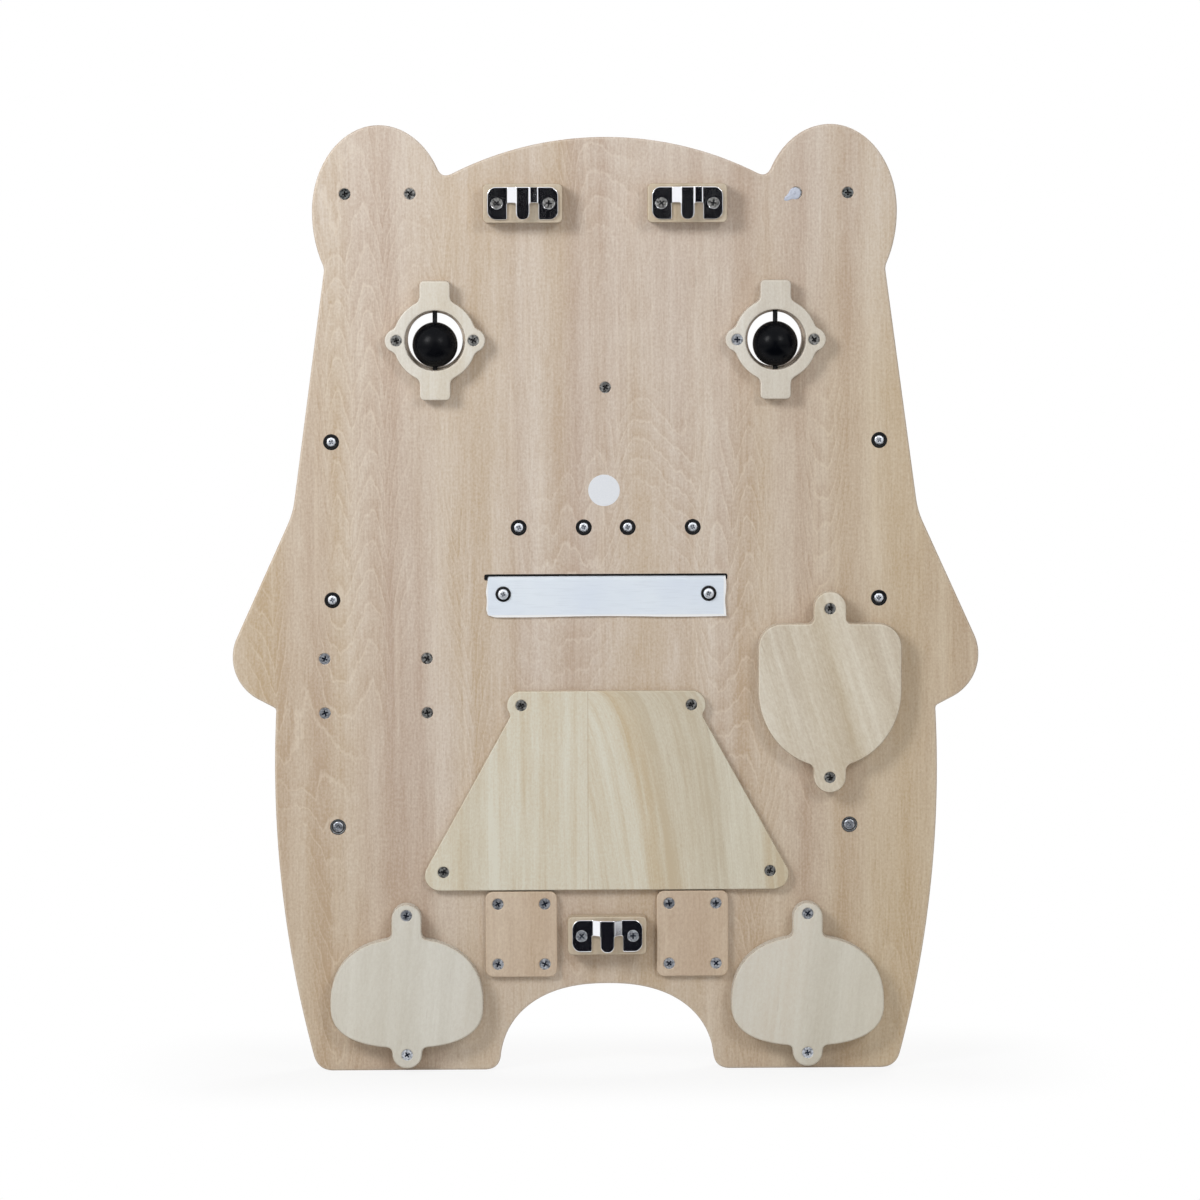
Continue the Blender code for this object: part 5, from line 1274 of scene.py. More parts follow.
def make_dial(side, x):
    """A thin plate on the rear, and the dial that turns in the pocket under it."""
    outline = rectangle(DIAL_PLATE_WIDTH, DIAL_PLATE_HEIGHT, DIAL_PLATE_CORNER)
    plate = slab(outline, DIAL_PLATE_THICK, (x, SEAT_GAP, DIAL_Z), COVER_EDGE)
    seats = [seat(*at, SEAT_GAP + DIAL_PLATE_THICK) for at in dial_screws(x)]
    dress(combine(plate, seats), STRIP, f"dial_plate_{side}")
    front = -BOARD_THICK - RUNNING_GAP
    grip = lobed(DIAL_RADIUS, DIAL_LOBE_DEPTH, DIAL_LOBES)
    dial = slab(grip, DIAL_HEIGHT, (x, front - DIAL_HEIGHT, DIAL_Z), DIAL_EDGE)
    rear = -DIAL_POCKET_DEPTH + RUNNING_GAP + DIAL_DISC_THICK
    stem = bore(DIAL_STEM_RADIUS, rear, front - DIAL_HEIGHT / 2, (x, 0, DIAL_Z), REAR_SIDE, ROUND_STEPS)
    dress(combine(dial, [stem], "UNION"), BROWN, f"dial_{side}")


def dial_screws(x):
    return four_screws(x, DIAL_Z, DIAL_SCREW_X, DIAL_SCREW_Z)


def make_cover(node, look, at, half, tabs, thick, recess, deep, screws):
    """A thick tabbed cover on the rear, its inner face recessed for what it holds."""
    x, z = at
    cover = slab(tabbed(half, *tabs), thick, (x, SEAT_GAP, z), FOOT_COVER_EDGE)
    cutters = [slab(mirrored(recess), OVERRUN + SEAT_GAP + deep, (x, -OVERRUN, z))]
    cutters += [seat(x, screw_z, SEAT_GAP + thick) for screw_z in screws]
    dress(combine(cover, cutters), look, node)


def make_foot(side, x):
    half, recess = foot_half(full=FOOT_FULL), foot_half(FOOT_RECESS_LAP)
    holds = FOOT_COVER_THICK, recess, FOOT_RECESS_DEPTH, FOOT_SCREWS
    make_cover(f"foot_cover_{side}", FOOT, (x, FOOT_Z), half, FOOT_TABS, *holds)


FOOT_TABS = FOOT_TAB_RADIUS, FOOT_TAB_TOP, FOOT_TAB_BOTTOM, FOOT_TAB_BLEND
ACORN_TABS = ACORN_TAB_RADIUS, ACORN_TAB_TOP, ACORN_TAB_BOTTOM, ACORN_TAB_BLEND
FOOT_SCREWS = (FOOT_Z + FOOT_SCREW_TOP, FOOT_Z - FOOT_SCREW_BOTTOM)
PAW_SCREWS = (ACORN_Z + ACORN_SCREW_TOP, ACORN_Z - ACORN_SCREW_BOTTOM)


def make_paw():
    holds = ACORN_COVER_THICK, acorn_half(MIRROR_LAP), MIRROR_THICK + SEAT_GAP, PAW_SCREWS
    make_cover("paw_cover", SLANT, (-ACORN_X, ACORN_Z), acorn_half(), ACORN_TABS, *holds)
    outline = mirrored(acorn_half(MIRROR_LAP + SEAT_GAP))
    at = (-ACORN_X, SEAT_GAP, ACORN_Z)
    dress(slab(outline, MIRROR_THICK, at, SEAT_GAP), MIRROR, "paw_mirror")


# Play side


def on_front(thick):
    """The near depth of a piece of this thickness that is seated on the play side."""
    return -BOARD_THICK - SEAT_GAP - thick


def make_face():
    for side, sign in SIDES:
        x, z = ear_centre()
        outline = mirrored(egg_half(EAR_PAD_HALF_WIDTH, EAR_PAD_RISE, EAR_PAD_FALL))
        at = (sign * x, on_front(EAR_PAD_THICK), z)
        dress(slab(outline, EAR_PAD_THICK, at, EAR_PAD_EDGE), WHITE, f"ear_pad_{side}")
    outline = mirrored(egg_half(NOSE_HALF_WIDTH, NOSE_RISE, NOSE_FALL))
    dress(slab(outline, NOSE_THICK, (0, on_front(NOSE_THICK), NOSE_Z), NOSE_EDGE), DARK, "nose")


def wire(node, path, radius):
    curve = bpy.data.curves.new(node, "CURVE")
    curve.dimensions = "3D"
    curve.bevel_depth = radius
    curve.bevel_resolution = 6
    curve.use_fill_caps = True
    spline = curve.splines.new("POLY")
    spline.points.add(len(path) - 1)
    for point, place in zip(spline.points, path):
        point.co = (*place, 1)
    dress(mesh_of_curve(curve), ROD, node)


def staple(low, high, stand, bend):
    """A wire bent square twice, as (depth, place): two legs in the board and a straight run before it."""
    leg = -BOARD_THICK + SOCKET_DEPTH - SEAT_GAP
    front = -BOARD_THICK - stand
    return stretch((leg, low, 0), (front, low, bend), (front, high, bend), (leg, high, 0))


def make_wires(side, sign):
    x = sign * SIDE_WIRE_X
    run = staple(SIDE_WIRE_LOW_Z, SIDE_WIRE_LOW_Z + SIDE_WIRE_SPAN, SIDE_WIRE_STAND, SIDE_WIRE_BEND)
    wire(f"side_wire_{side}", [(x, depth, z) for depth, z in run], SIDE_WIRE_RADIUS)
    rest_z = SIDE_WIRE_LOW_Z + SIDE_WIRE_BEND + SIDE_BEAD_RADIUS
    profile = bored_ball(SIDE_BEAD_RADIUS, SIDE_WIRE_RADIUS + RUNNING_GAP)
    at = (x, -BOARD_THICK - SIDE_WIRE_STAND, rest_z)
    bead = turned(profile, at, UPRIGHT, closed=True)
    dress(bead, BROWN, f"side_bead_{side}")
    ends = sorted((sign * MOUTH_INNER_X, sign * MOUTH_OUTER_X))
    run = staple(*ends, MOUTH_WIRE_STAND, MOUTH_WIRE_BEND)
    wire(f"mouth_wire_{side}", [(x, depth, MOUTH_Z) for depth, x in run], MOUTH_WIRE_RADIUS)
    hole = MOUTH_WIRE_RADIUS + RUNNING_GAP
    half = MOUTH_BEAD_LENGTH / 2
    corners = [
        (hole, half, 0),
        (MOUTH_BEAD_RADIUS, half, MOUTH_BEAD_ROUND),
        (MOUTH_BEAD_RADIUS, -half, MOUTH_BEAD_ROUND),
        (hole, -half, 0),
    ]
    rest_x = sign * (MOUTH_INNER_X + MOUTH_WIRE_BEND + half)
    at = (rest_x, -BOARD_THICK - MOUTH_WIRE_STAND, MOUTH_Z)
    bead = turned(stretch(*corners), at, ALONG_X, closed=True)
    dress(bead, WHITE, f"mouth_bead_{side}")


def make_wheel(side):
    x, z = PLACES[f"wheel_{side}"]
    radius = WHEEL_RADII[side]
    low = -BOARD_THICK - WHEEL_STAND - WHEEL_THICK
    outline = lobed(radius, WHEEL_LOBE_DEPTH, WHEEL_LOBES[side])
    wheel = slab(outline, WHEEL_THICK, (x, low, z), WHEEL_EDGE)
    cutters = [bore(PIVOT_SLEEVE_RADIUS + RUNNING_GAP, WHEEL_THICK, -WHEEL_THICK, (x, low, z), PLAY_SIDE)]
    reach = (radius - WHEEL_LOBE_DEPTH + PIVOT_CAP_RADIUS) / 2
    wide, deep = WHEEL_DIMPLE_RADIUS, WHEEL_DIMPLE_DEPTH
    bowl = stretch((0, OVERRUN, 0), (wide, OVERRUN, 0), (wide, -deep, deep / 2), (0, -deep, 0))
    for index in range(WHEEL_DIMPLES):
        angle = 2 * math.pi * (index + 1 / 2) / WHEEL_DIMPLES
        at = (x + reach * math.cos(angle), low, z + reach * math.sin(angle))
        cutters.append(turned(bowl, at, PLAY_SIDE, steps=SMALL_STEPS))
    dress(combine(wheel, cutters), PALE, f"wheel_{side}")
    under = WHEEL_STAND + WHEEL_THICK + RUNNING_GAP
    hole = PIVOT_SHANK_RADIUS + SEAT_GAP
    tip = PIVOT_SHANK_LENGTH - (BOARD_THICK - WELL_DEPTH)
    profile = stretch(
        (0, under + PIVOT_CAP_HEIGHT, 0),
        (PIVOT_CAP_RADIUS, under + PIVOT_CAP_HEIGHT, PIVOT_CAP_HEIGHT - WHEEL_EDGE),
        (PIVOT_CAP_RADIUS, under, SEAT_GAP),
        (PIVOT_SLEEVE_RADIUS, under, 0),
        (PIVOT_SLEEVE_RADIUS, SEAT_GAP, 0),
        (hole, SEAT_GAP, 0),
        (hole, tip + SEAT_GAP, 0),
        (0, tip + SEAT_GAP, 0),
    )
    cap = turned(profile, (x, -BOARD_THICK, z), PLAY_SIDE)
    dress(cap, BROWN, f"pivot_cap_{side}")
    screw = pan_screw(PIVOT_HEAD_RADIUS, PIVOT_SHANK_LENGTH, PIVOT_SHANK_RADIUS)
    screw.data.transform(placed((x, -WELL_DEPTH, z), REAR_SIDE))
    dress(screw, CLEAN, f"pivot_screw_{side}")


def make_latch():
    outline = rectangle(LATCH_WIDTH, LATCH_HEIGHT, LATCH_CORNER)
    base_low = on_front(LATCH_THICK)
    base = slab(outline, LATCH_THICK, (LATCH_X, base_low, LATCH_Z), LATCH_EDGE)
    dress(base, PALE, "latch_base")
    guide_low = base_low - SEAT_GAP - GUIDE_THICK
    bolt_y = guide_low + GUIDE_THICK / 2
    half = GUIDE_WIDTH / 2 + OVERRUN
    for name, sign in (("inner", -1), ("outer", 1)):
        x = LATCH_X + sign * GUIDE_X
        outline = rectangle(GUIDE_WIDTH, GUIDE_HEIGHT, GUIDE_CORNER)
        guide = slab(outline, GUIDE_THICK, (x, guide_low, LATCH_Z), LATCH_EDGE)
        cutter = bore(BOLT_RADIUS + RUNNING_GAP, half, -half, (x, bolt_y, LATCH_Z), ALONG_X, ROUND_STEPS)
        dress(combine(guide, [cutter]), DARK, f"latch_guide_{name}")
    at = (LATCH_X + BOLT_TRAVEL / 2, bolt_y, LATCH_Z)
    half = GUIDE_X + GUIDE_WIDTH / 2 + BOLT_TRAVEL / 2
    ends = [(0, half, 0), (BOLT_RADIUS, half, BOLT_END), (BOLT_RADIUS, -half, BOLT_END), (0, -half, 0)]
    bolt = turned(stretch(*ends), at, ALONG_X)
    knob = stretch(
        (0, BOLT_RADIUS + BOLT_KNOB_HEIGHT, 0),
        (BOLT_KNOB_RADIUS, BOLT_RADIUS + BOLT_KNOB_HEIGHT, BOLT_KNOB_RADIUS / 2),
        (BOLT_KNOB_RADIUS, BOLT_RADIUS + BOLT_KNOB_NECK, BOLT_KNOB_RADIUS / 3),
        (BOLT_KNOB_NECK, BOLT_RADIUS, 0),
        (BOLT_KNOB_NECK, 0, 0),
        (0, 0, 0),
    )
    dress(combine(bolt, [turned(knob, at, PLAY_SIDE)], "UNION"), BROWN, "latch_bolt")


# Fasteners and sticker


def cross_cutter(reach, width, depth):
    """A cross recess that narrows downwards, about the upright axis."""
    a, b = reach, width / 2
    quarter = [(a, -b), (a, b), (b, b)]
    points = [Matrix.Rotation(turn * math.pi / 2, 2) @ Vector(p) for turn in range(4) for p in quarter]
    ends = ((depth, CROSS_WIDE), (-depth, CROSS_NARROW))
    return lofted([(p.x * share, p.y * share, height) for p in points] for height, share in ends)


def pan_screw(radius, length, shank):
    """A machine screw with a domed head, its seat at height 0."""
    height = PAN_HEIGHT
    profile = stretch(
        (0, height, 0),
        (radius, height, PAN_ROUND),
        (radius, SEAT_GAP, 0),
        (shank, SEAT_GAP, 0),
        (shank, -length, 0),
        (0, -length, 0),
    )
    screw = turned(profile, (0, 0, 0), UPRIGHT, steps=SMALL_STEPS)
    cutter = cross_cutter(PAN_REACH, CROSS_WIDTH, CROSS_DEPTH * PAN_CROSS_SHARE)
    cutter.data.transform(Matrix.Translation((0, 0, height)))
    return combine(screw, [cutter])


def flush_screw():
    """A countersunk wood screw, its head's top at height 0."""
    rim = HEAD_RADIUS
    profile = [
        (0, 0),
        (rim - SEAT_GAP / 2, 0),
        (rim, -SEAT_GAP / 2),
        (rim, -SEAT_GAP),
        (CSK_SHANK_RADIUS - SEAT_GAP, -CSK_DEPTH),
        (CSK_SHANK_RADIUS - SEAT_GAP, -SCREW_LENGTH / 3),
        (0, -SCREW_LENGTH / 3),
    ]
    screw = turned(profile, (0, 0, 0), UPRIGHT, steps=SMALL_STEPS)
    return combine(screw, [cross_cutter(CROSS_REACH, CROSS_WIDTH, CROSS_DEPTH)])


def recess_faces(mesh, top, level):
    """Which faces of a screw, whose head ends at this height, line its recess, up to this upward slope."""
    found = []
    for face in mesh.polygons:
        sunk = top - face.center.z
        near = math.hypot(face.center.x, face.center.y) < CROSS_REACH and face.area < math.pi * CROSS_REACH**2
        if near and SEAT_GAP < sunk < 1.1 * CROSS_DEPTH and face.normal.z < level:
            found.append(face.index)
    return found


def ring(name, outer, inner, high, low, at, look):
    """A washer or ring about a screw, with softened rims."""
    soft = (outer - inner) / 4
    corners = [(inner, high, soft), (outer, high, soft), (outer, low, 0), (inner, low, 0)]
    washer = turned(rounded(corners), at, REAR_SIDE, closed=True, steps=48)
    dress(washer, look, name=name, body="panel")


def make_fasteners():
    flush = flush_screw()
    pan = pan_screw(PAN_RADIUS, WELL_DEPTH / 2, PIVOT_SHANK_RADIUS)
    recesses = {flush: recess_faces(flush.data, 0, 2), pan: recess_faces(pan.data, PAN_HEIGHT, 0.9)}
    turns = itertools.count(1)

    def put(pattern, name, x, surface, z, look):
        screw = new_object(name, pattern.data.copy())
        turn = Matrix.Rotation(next(turns) * SCREW_TURN, 4, "Z")
        screw.data.transform(placed((x, surface, z), REAR_SIDE) @ turn)
        dress(screw, look, name=name, body="panel")
        # The recess faces get a darker copy of the screw's zinc as painted shade.
        painted_shade = PAN_RECESS_SHADE if pattern is pan else RECESS_SHADE if look is CLEAN else DULL_RECESS_SHADE
        screw.data.materials.append(painted_shade)
        for index in recesses[pattern]:
            screw.data.polygons[index].material_index = 1

    rear_of = {
        "ear": (EAR_SCREWS, 0, (DULL, WORN)),
        "nose": ([(0, NOSE_Z)], 0, (DULL,)),
        "latch": (LATCH_SCREWS, 0, (DULL, DULL, CLEAN, CLEAN)),
        "cover": (COVER_SCREWS, SEAT_GAP + COVER_THICK, (DULL,)),
        "paw": ([(-ACORN_X, z) for z in PAW_SCREWS], SEAT_GAP + ACORN_COVER_THICK, (DULL,)),
    }
    for side, sign in SIDES:
        bezel = [(sign * EYE_X + way * BEZEL_LUG_X, EYE_Z) for way in (-1, 1)]
        rear_of[f"bezel_{side}"] = (bezel, SEAT_GAP + BEZEL_THICK, (DULL, CLEAN) if sign < 0 else (DULL,))
        rear_of[f"dial_plate_{side}"] = (dial_screws(sign * DIAL_X), SEAT_GAP + DIAL_PLATE_THICK, (CLEAN,))
        foot = [(sign * FOOT_X, z) for z in FOOT_SCREWS]
        rear_of[f"foot_{side}"] = (foot, SEAT_GAP + FOOT_COVER_THICK, (CLEAN,))
    plate_rear = SEAT_GAP + BLOCK_THICK + SEAT_GAP + SHEET + HEAD_SUNK
    for name, x, z in HANGERS:
        flanges = [(x + way * (PLATE_WIDTH / 2 - PLATE_SCREW_INSET), z) for way in (-1, 1)]
        rear_of[f"hanger_{name}"] = (flanges, plate_rear, (CLEAN if name == "low" else DULL,))
    for group, (places, surface, looks) in rear_of.items():
        for index, (x, z) in enumerate(places):
            put(flush, f"screw_{group}_{index}", x, surface - HEAD_SUNK, z, looks[index % len(looks)])

    for index, (x, z) in enumerate(SIDE_SCREWS + MOUTH_SCREWS):
        ring(f"ring_{index}", RING_RADIUS, RING_HOLE_RADIUS, RING_PROUD, -WELL_DEPTH, (x, 0, z), RUBBER)
        put(pan, f"pan_screw_{index}", x, -PAN_HEIGHT, z, PAN)
    for side, sign in SIDES:
        surface = SEAT_GAP + CLOTH_THICK
        at = (sign * CLOTH_SCREW_X, surface, CLOTH_SLOT_Z - CLOTH_SCREW_DROP)
        ring(f"cloth_washer_{side}", WASHER_RADIUS, RING_HOLE_RADIUS / 2, WASHER_THICK, 0, at, RUBBER)
        put(pan, f"cloth_screw_{side}", at[0], surface + WASHER_THICK - WASHER_SINK, at[2], PAN)
        x, z = PLACES[f"wheel_{side}"]
        high = PIVOT_HEAD_HEIGHT - WELL_DEPTH - SEAT_GAP
        hole = PIVOT_HEAD_RADIUS + SEAT_GAP
        ring(f"pivot_ring_{side}", RING_RADIUS, hole, high, -WELL_DEPTH, (x, 0, z), GREY)
    for pattern in (flush, pan):
        bpy.data.objects.remove(pattern)


HANGERS = [(side, sign * HANGER_X, HANGER_Z) for side, sign in SIDES] + [("low", 0, DIAL_Z)]


def make_sticker():
    """A plain round label: what is printed on the real one is left off."""
    radius, thick = STICKER_RADIUS, STICKER_THICK
    profile = [(0, thick), (radius - thick, thick), (radius, 0), (0, 0)]
    x, z = STICKER_PLACE
    label = turned(profile, (x, 0, z), REAR_SIDE, steps=STICKER_STEPS)
    dress(label, PAPER, name="round_sticker", body="panel")


def make_filler():
    """A patch of filler over one ear screw, thin at its rim and smeared out to one side."""
    x, z = EAR_SCREWS[0]
    tail = math.radians(FILLER_TAIL_ANGLE)
    rings = []
    for share in FILLER_RINGS:
        ring = []
        for step in range(ROUND_STEPS):
            angle = 2 * math.pi * step / ROUND_STEPS
            away = (angle - tail + math.pi) % (2 * math.pi) - math.pi
            reach = FILLER_RADIUS + FILLER_TAIL * math.exp(-((away / FILLER_TAIL_SPREAD) ** 2))
            reach += FILLER_WAVER * noise.noise(Vector((2 * math.cos(angle), 2 * math.sin(angle), 4)))
            px, pz = share * reach * math.cos(angle), share * reach * math.sin(angle)
            lump = noise.noise(Vector((px * 600, pz * 600, 3))) * (1 - share)
            depth = FILLER_THICK * (math.sqrt(1 - share**2) + lump)
            ring.append((x + FILLER_SHIFT[0] + px, max(depth, 2 * WELD), z + FILLER_SHIFT[1] + pz))
        rings.append(ring)
    dress(lofted(rings), FILLER, name="filler_patch", body="panel", smooth_under=70)


def make_slot_shadow():
    """A dark strip, put in as painted shadow, that fills the slot over the cloth and beside its ends."""
    top = CLOTH_SLOT_Z + CLOTH_SLOT_HEIGHT / 2 - RUNNING_GAP / 4
    over, low = CLOTH_SLOT_Z + CLOTH_THICK / 2 + RUNNING_GAP / 4, CLOTH_SLOT_Z - CLOTH_SLOT_HEIGHT / 3
    end = CLOTH_SLOT_HALF_WIDTH - RUNNING_GAP / 4
    left, right = CLOTH_HALF_WIDTH - SLOT_DRAW + RUNNING_GAP / 2, -CLOTH_HALF_WIDTH - RUNNING_GAP / 2
    outline = line((end, top), (-end, top), (-end, low), (right, low))
    outline += line((right, over), (left, over), (left, low), (end, low))
    painted_shade = slab(outline, BOARD_THICK - 2 * SEAT_GAP, (0, SEAT_GAP - BOARD_THICK, 0))
    dress(painted_shade, RUBBER, name="slot_shadow", body="panel")


# Cloth and plush


def cloth_path():
    """The cloth's middle line, as (depth, z): up the rear, through the slot and down the play side."""
    rear = SEAT_GAP + CLOTH_THICK / 2
    front = -BOARD_THICK - SEAT_GAP - CLOTH_THICK / 2
    low = CLOTH_SLOT_Z - CLOTH_TAIL
    rise = CLOTH_TAIL - CLOTH_TURN
    tail = [Vector((rear, low + rise * row / CLOTH_TAIL_ROWS)) for row in range(CLOTH_TAIL_ROWS)]
    corners = [
        (rear, low, 0),
        (rear, CLOTH_SLOT_Z, CLOTH_TURN),
        (front, CLOTH_SLOT_Z, CLOTH_TURN),
        (front, low, 0),
    ]
    turn = stretch(*corners, steps=2)[1:-1]
    top = CLOTH_SLOT_Z - CLOTH_TURN
    drop = CLOTH_DROP - CLOTH_TURN
    hung = range(1, CLOTH_HANG_ROWS + 1)
    return tail + turn + [Vector((front, top - drop * row / CLOTH_HANG_ROWS)) for row in hung]


def make_cloth():
    """The neckerchief: flat and screwed down at the rear, and hung in soft folds in front."""
    path = cloth_path()
    top = CLOTH_SLOT_Z - CLOTH_TURN
    low = CLOTH_SLOT_Z - CLOTH_TAIL
    corner = CLOTH_CORNER
    hem_reach, edge_sway, hem_sway, hem_lift, ripple_depth = 0.012, 0.0004, 0.0003, 0.0002, 0.0011
    made = bmesh.new()
    bmesh.ops.create_grid(made, x_segments=CLOTH_COLUMNS, y_segments=len(path) - 1, size=1)
    rows = {height: row for row, height in enumerate(sorted({round(vert.co.y, 6) for vert in made.verts}))}
    for vert in made.verts:
        depth, z = path[rows[round(vert.co.y, 6)]]
        across = vert.co.x
        hung = max(0.0, (top - z) / (CLOTH_DROP - CLOTH_TURN)) if depth < -BOARD_THICK else 0.0
        half = CLOTH_HALF_WIDTH + (CLOTH_TIP_HALF_WIDTH - CLOTH_HALF_WIDTH) * hung**CLOTH_TAPER
        wave = (1 - math.cos(2 * math.pi * CLOTH_FOLDS * (across + 1) / 2)) / 2
        x = across * half
        if depth > 0:
            x += edge_sway * math.sin(z * 330) * across
            near = max(0.0, 1 - (z - low) / hem_reach)
            z += hem_sway * near * math.sin(x * 60 + 1.4)
            depth += hem_lift * near * (1 + math.sin(x * 130))
            out, under = x - (half - corner), (low + corner) - z
            reach = math.hypot(out, under)
            if out > 0 and under > 0 and reach > corner:
                x, z = half - corner + out * corner / reach, low + corner - under * corner / reach
        if x > 0 and z > CLOTH_SLOT_Z - 2 * CLOTH_SLOT_HEIGHT:
            drawn = min(1.0, (z - CLOTH_SLOT_Z) / CLOTH_SLOT_HEIGHT / 2 + 1)
            x = min(x, CLOTH_HALF_WIDTH - SLOT_DRAW * drawn)
        ripple = noise.noise(Vector((x * 90, z * 34, 0.5))) * ripple_depth * min(1.0, 3 * hung)
        vert.co = (x, depth - CLOTH_FOLD_DEPTH * 0.8 * wave * min(1.0, 2 * hung) - abs(ripple), z)
    mesh = bpy.data.meshes.new("cloth")
    made.to_mesh(mesh)
    made.free()
    cloth = new_object("cloth", mesh)
    thick = cloth.modifiers.new("cloth", "SOLIDIFY")
    thick.thickness = CLOTH_THICK
    thick.offset = 0
    cloth.data = evaluated_mesh(cloth)
    cloth.modifiers.clear()
    dress(cloth, CLOTH, "neckerchief", smooth_under=60)


def swollen(piece, held):
    """Stuffs a closed piece: a cloth simulation swells the points that aren't held, up to a cap."""
    piece.vertex_groups.new(name="held").add(held, 1.0, "REPLACE")
    cloth = piece.modifiers.new("stuffing", "CLOTH")
    cloth.settings.vertex_group_mass = "held"
    cloth.settings.use_pressure = True
    cloth.settings.uniform_pressure_force = PAD_PRESSURE
    cloth.settings.effector_weights.gravity = 0
    cloth.settings.shrink_min = -PAD_SLACK
    cloth.point_cache.frame_start, cloth.point_cache.frame_end = 1, PAD_FRAMES
    for number in range(1, PAD_FRAMES + 1):
        bpy.context.scene.frame_set(number)
    mesh = evaluated_mesh(piece)
    bpy.context.scene.frame_set(1)
    piece.modifiers.clear()
    piece.vertex_groups.clear()
    for vert, stuffed in zip(piece.data.vertices, mesh.vertices):
        move = stuffed.co - vert.co
        vert.co += move * min(1.0, PAD_CAP / max(move.length, WELD))
    bpy.data.meshes.remove(mesh)


def make_pad(side, x):
    """A stuffed foot pad: its rim is held under the cover, its crown swells out of the opening."""
    rim = mirrored(foot_half(FOOT_RECESS_LAP + SEAT_GAP))
    swell = mirrored(foot_half(FOOT_LAP + RUNNING_GAP))
    front, edge = -BOARD_THICK, SEAT_GAP + PAD_FLANGE_THICK
    base = front + PAD_SHOULDER
    rings = [(rim, 1, edge), (rim, 1, SEAT_GAP), (swell, 1, SEAT_GAP - WELD), (swell, 1, base)]
    for step in range(1, PAD_RINGS):
        turn = step / PAD_RINGS * math.pi / 2
        rings.append((swell, math.cos(turn) ** PAD_ROUND, base - (PAD_SHOULDER + PAD_CROWN) * math.sin(turn)))
    held_rings = sum(depth > front for _, _, depth in rings)
    loops = []
    for outline, share, depth in rings:
        loop = []
        for point in outline:
            px, pz = point.x * share, point.y * share
            lumps = noise.noise(Vector((px * 60 + x * 40, 0, pz * 60))) * PAD_LUMPS if share < 1 else 0.0
            loop.append((x + px, depth + lumps, FOOT_Z + pz))
        loops.append(loop)
    pad = lofted(loops)
    swollen(pad, list(range(held_rings * len(rim))))
    dress(pad, PLUSH, f"foot_pad_{side}", smooth_under=60)


# Stage, light and camera


# Cards that only glossy rays see: name, width and length, place, turn
CARDS = (
    ("dark_card", (1.5, 1.5), (0, 3.3, 0.1), (math.pi / 2, 0, 0)),
    ("low_card", (1.2, 3.1), (0, 1.75, FLOOR_Z + 0.004), (0, 0, 0)),
    ("front_card", (2.0, 2.0), (0, -3.4, 0.1), (math.pi / 2, 0, 0)),
    ("side_card", (2.6, 1.3), (-2.0, 0.0, 0.2), (0, math.pi / 2, 0)),
    ("floor_card", (0.26, 0.22), (-0.48, 0.02, FLOOR_Z + 0.004), (0, 0, 0)),
)
# Lamps: name, place, aim, width, watts
LAMPS = (
    ("key", (1.15, 1.10, 0.68), (0.80, 0, 0.60), 0.7, 18.5),
    ("fill", (-1.25, 2.30, 1.15), (-0.1, 0, 0.15), 0.8, 16),
    ("front_key", (-1.25, -1.75, 1.6), (0, 0, -0.25), 1.2, 34),
    ("front_fill", (2.2, -2.0, 1.0), (0, 0, -0.25), 2.0, 20),
)
FLOOR_SIZE = 14
WORLD_LEVEL = 0.34
CAMERA_PLACE = (0.0569, 3.0516, 0.0084)
CAMERA_TURN = (85.182, 0.18, 178.993)
SENSOR_WIDTH, LENS = 36, 146.06


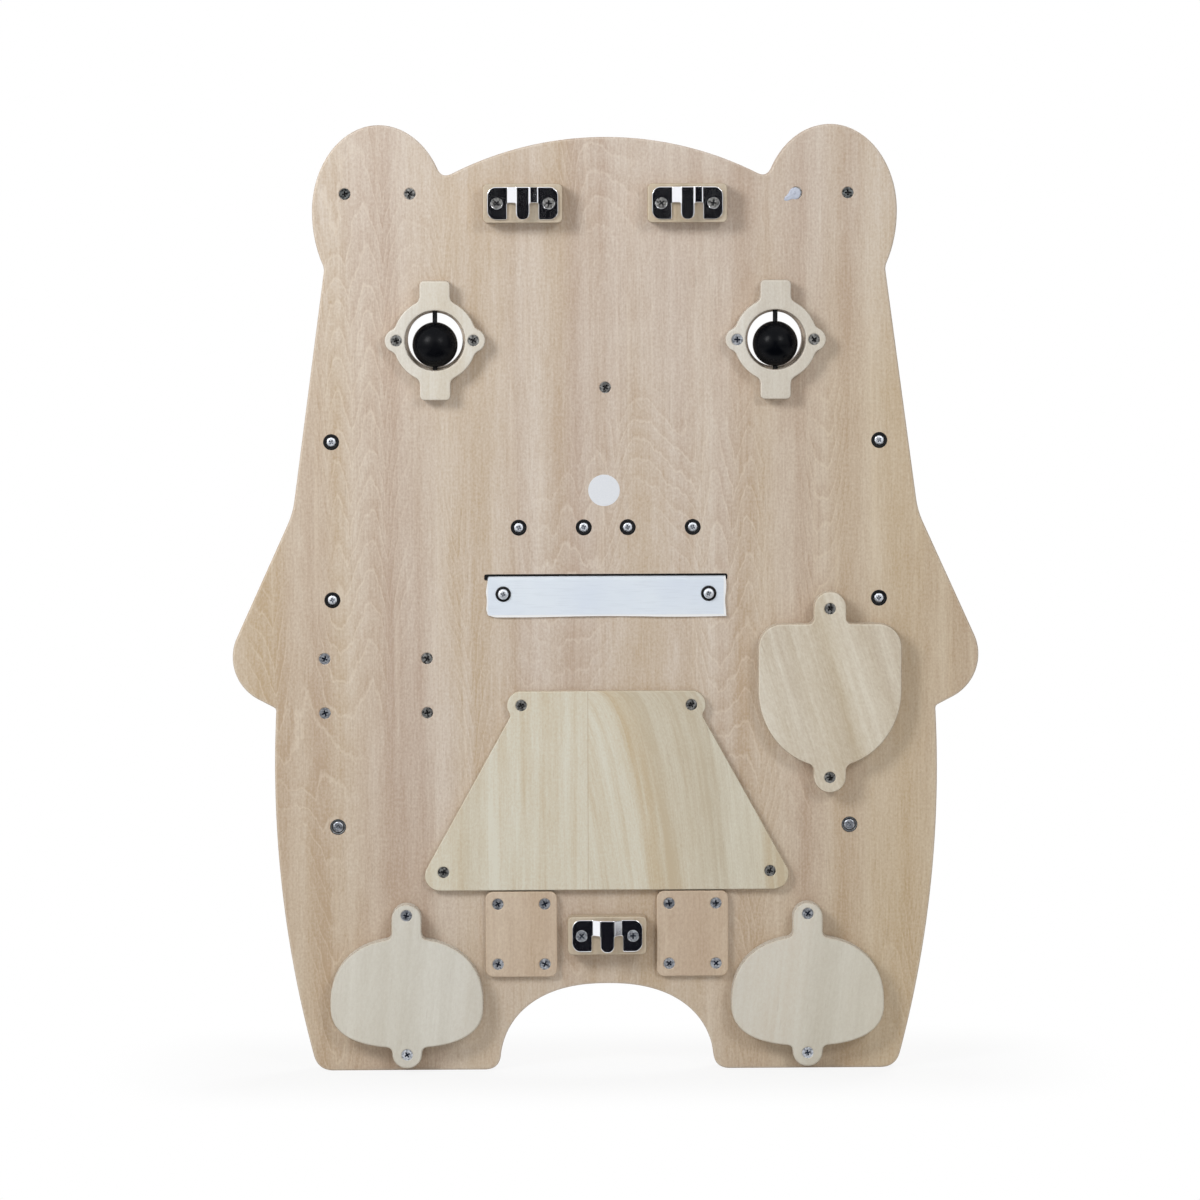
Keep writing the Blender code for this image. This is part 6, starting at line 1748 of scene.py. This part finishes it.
def make_stage():
    bpy.ops.mesh.primitive_plane_add(size=FLOOR_SIZE, location=(0, 0, FLOOR_Z))
    floor = bpy.context.object
    floor.name = "studio_floor"
    ground = Shader("floor", Base_Color=(0.72, 0.72, 0.72, 1), Roughness=0.7, Specular_IOR_Level=0.1)
    path = ground.add("LightPath").outputs
    seen = ground.math("MAXIMUM", path["Is Camera Ray"], path["Is Glossy Ray"])
    seen = ground.math("MAXIMUM", seen, path["Is Transmission Ray"])
    x, y, _ = ground.split(ground.place)
    beside = ground.math("MAXIMUM", ground.minus(ground.size(x), HIP_HALF_WIDTH), 0)
    middle = WALL_DEPTH + BOARD_THICK
    off_middle = ground.minus(ground.size(ground.plus(y, middle)), middle)
    before = ground.math("MAXIMUM", off_middle, 0)
    away = ground.math("SQRT", ground.fused(beside, beside, ground.times(before, before)))
    lit = ground.times(ground.ease(away, 0, 0.13, 0.87, 1), seen)
    far = ground.times(ground.ease(away, 0.7, 2.4, 0, 0.6), path["Is Glossy Ray"])
    level = ground.minus(1, far)
    white = ground.add("Emission", {"Color": (1, 1, 1, 1), "Strength": level}).outputs[0]
    blend = ground.add("MixShader", {0: lit, 1: ground.surface.outputs[0], 2: white})
    ground.links.new(blend.outputs[0], ground.nodes["Material Output"].inputs["Surface"])
    floor.data.materials.append(ground.material)

    dark = Shader("card", Base_Color=(0.006, 0.006, 0.009, 1), Roughness=0.9, Specular_IOR_Level=0.0)
    grey = Shader("grey_card", Roughness=0.9, Specular_IOR_Level=0.0)
    grey.set(Base_Color=grey.mix(grey.noise(grey.place, 2.5, 1), srgb(70, 72, 76), srgb(245, 246, 248)))
    for name, (width, length), place, turn in CARDS:
        bpy.ops.mesh.primitive_plane_add(size=1, location=place, rotation=turn)
        card = bpy.context.object
        card.name = name
        card.scale = (width, length, 1)
        card.data.materials.append(grey.material if name == "front_card" else dark.material)
        card.visible_camera = card.visible_diffuse = card.visible_shadow = card.visible_transmission = False

    world = bpy.data.worlds.new("studio")
    world.use_nodes = True
    nodes, links = world.node_tree.nodes, world.node_tree.links
    path = nodes.new("ShaderNodeLightPath").outputs
    seen = nodes.new("ShaderNodeMath")
    seen.operation = "MAXIMUM"
    links.new(path["Is Camera Ray"], seen.inputs[0])
    links.new(path["Is Glossy Ray"], seen.inputs[1])
    level = nodes.new("ShaderNodeMapRange")
    links.new(seen.outputs[0], level.inputs[0])
    level.inputs[3].default_value = WORLD_LEVEL
    level.inputs[4].default_value = 1.0
    nodes["Background"].inputs[0].default_value = (1, 1, 1, 1)
    links.new(level.outputs[0], nodes["Background"].inputs[1])
    bpy.context.scene.world = world


def lamp(name, place, aim, size, watts):
    light = bpy.data.lights.new(name, "AREA")
    light.shape = "DISK"
    light.size = size
    light.energy = watts
    obj = new_object(name, light)
    obj.location = place
    obj.rotation_euler = (Vector(aim) - Vector(place)).to_track_quat("-Z", "Y").to_euler()


def make_camera():
    data = bpy.data.cameras.new("camera")
    data.sensor_width, data.lens = SENSOR_WIDTH, LENS
    data.clip_end = 100
    camera = new_object("camera", data)
    camera.location = CAMERA_PLACE
    camera.rotation_euler = [math.radians(turn) for turn in CAMERA_TURN]
    bpy.context.scene.camera = camera
    bpy.context.scene.view_settings.view_transform = "Standard"


def main():
    make_board()
    for side, sign in SIDES:
        make_eye(side, sign * EYE_X)
        make_dial(side, sign * DIAL_X)
        make_foot(side, sign * FOOT_X)
        make_pad(side, sign * FOOT_X)
        make_wires(side, sign)
        make_wheel(side)
    for name, x, z in HANGERS:
        make_hanger(name, x, z)
    make_tummy_cover()
    for name, (low, _) in SLIDE_ENDS.items():
        make_climber(name, low)
    make_paw()
    make_face()
    make_latch()
    make_fasteners()
    make_sticker()
    make_filler()
    make_slot_shadow()
    make_cloth()
    for name in [f"climber_disc_{name}" for name in SLIDE_ENDS] + [f"dial_disc_{side}" for side, _ in SIDES]:
        for socket in frame["nodes"][name].material_slots:
            socket.material = PALE[0]
    make_stage()
    for values in LAMPS:
        lamp(*values)
    make_camera()


main()
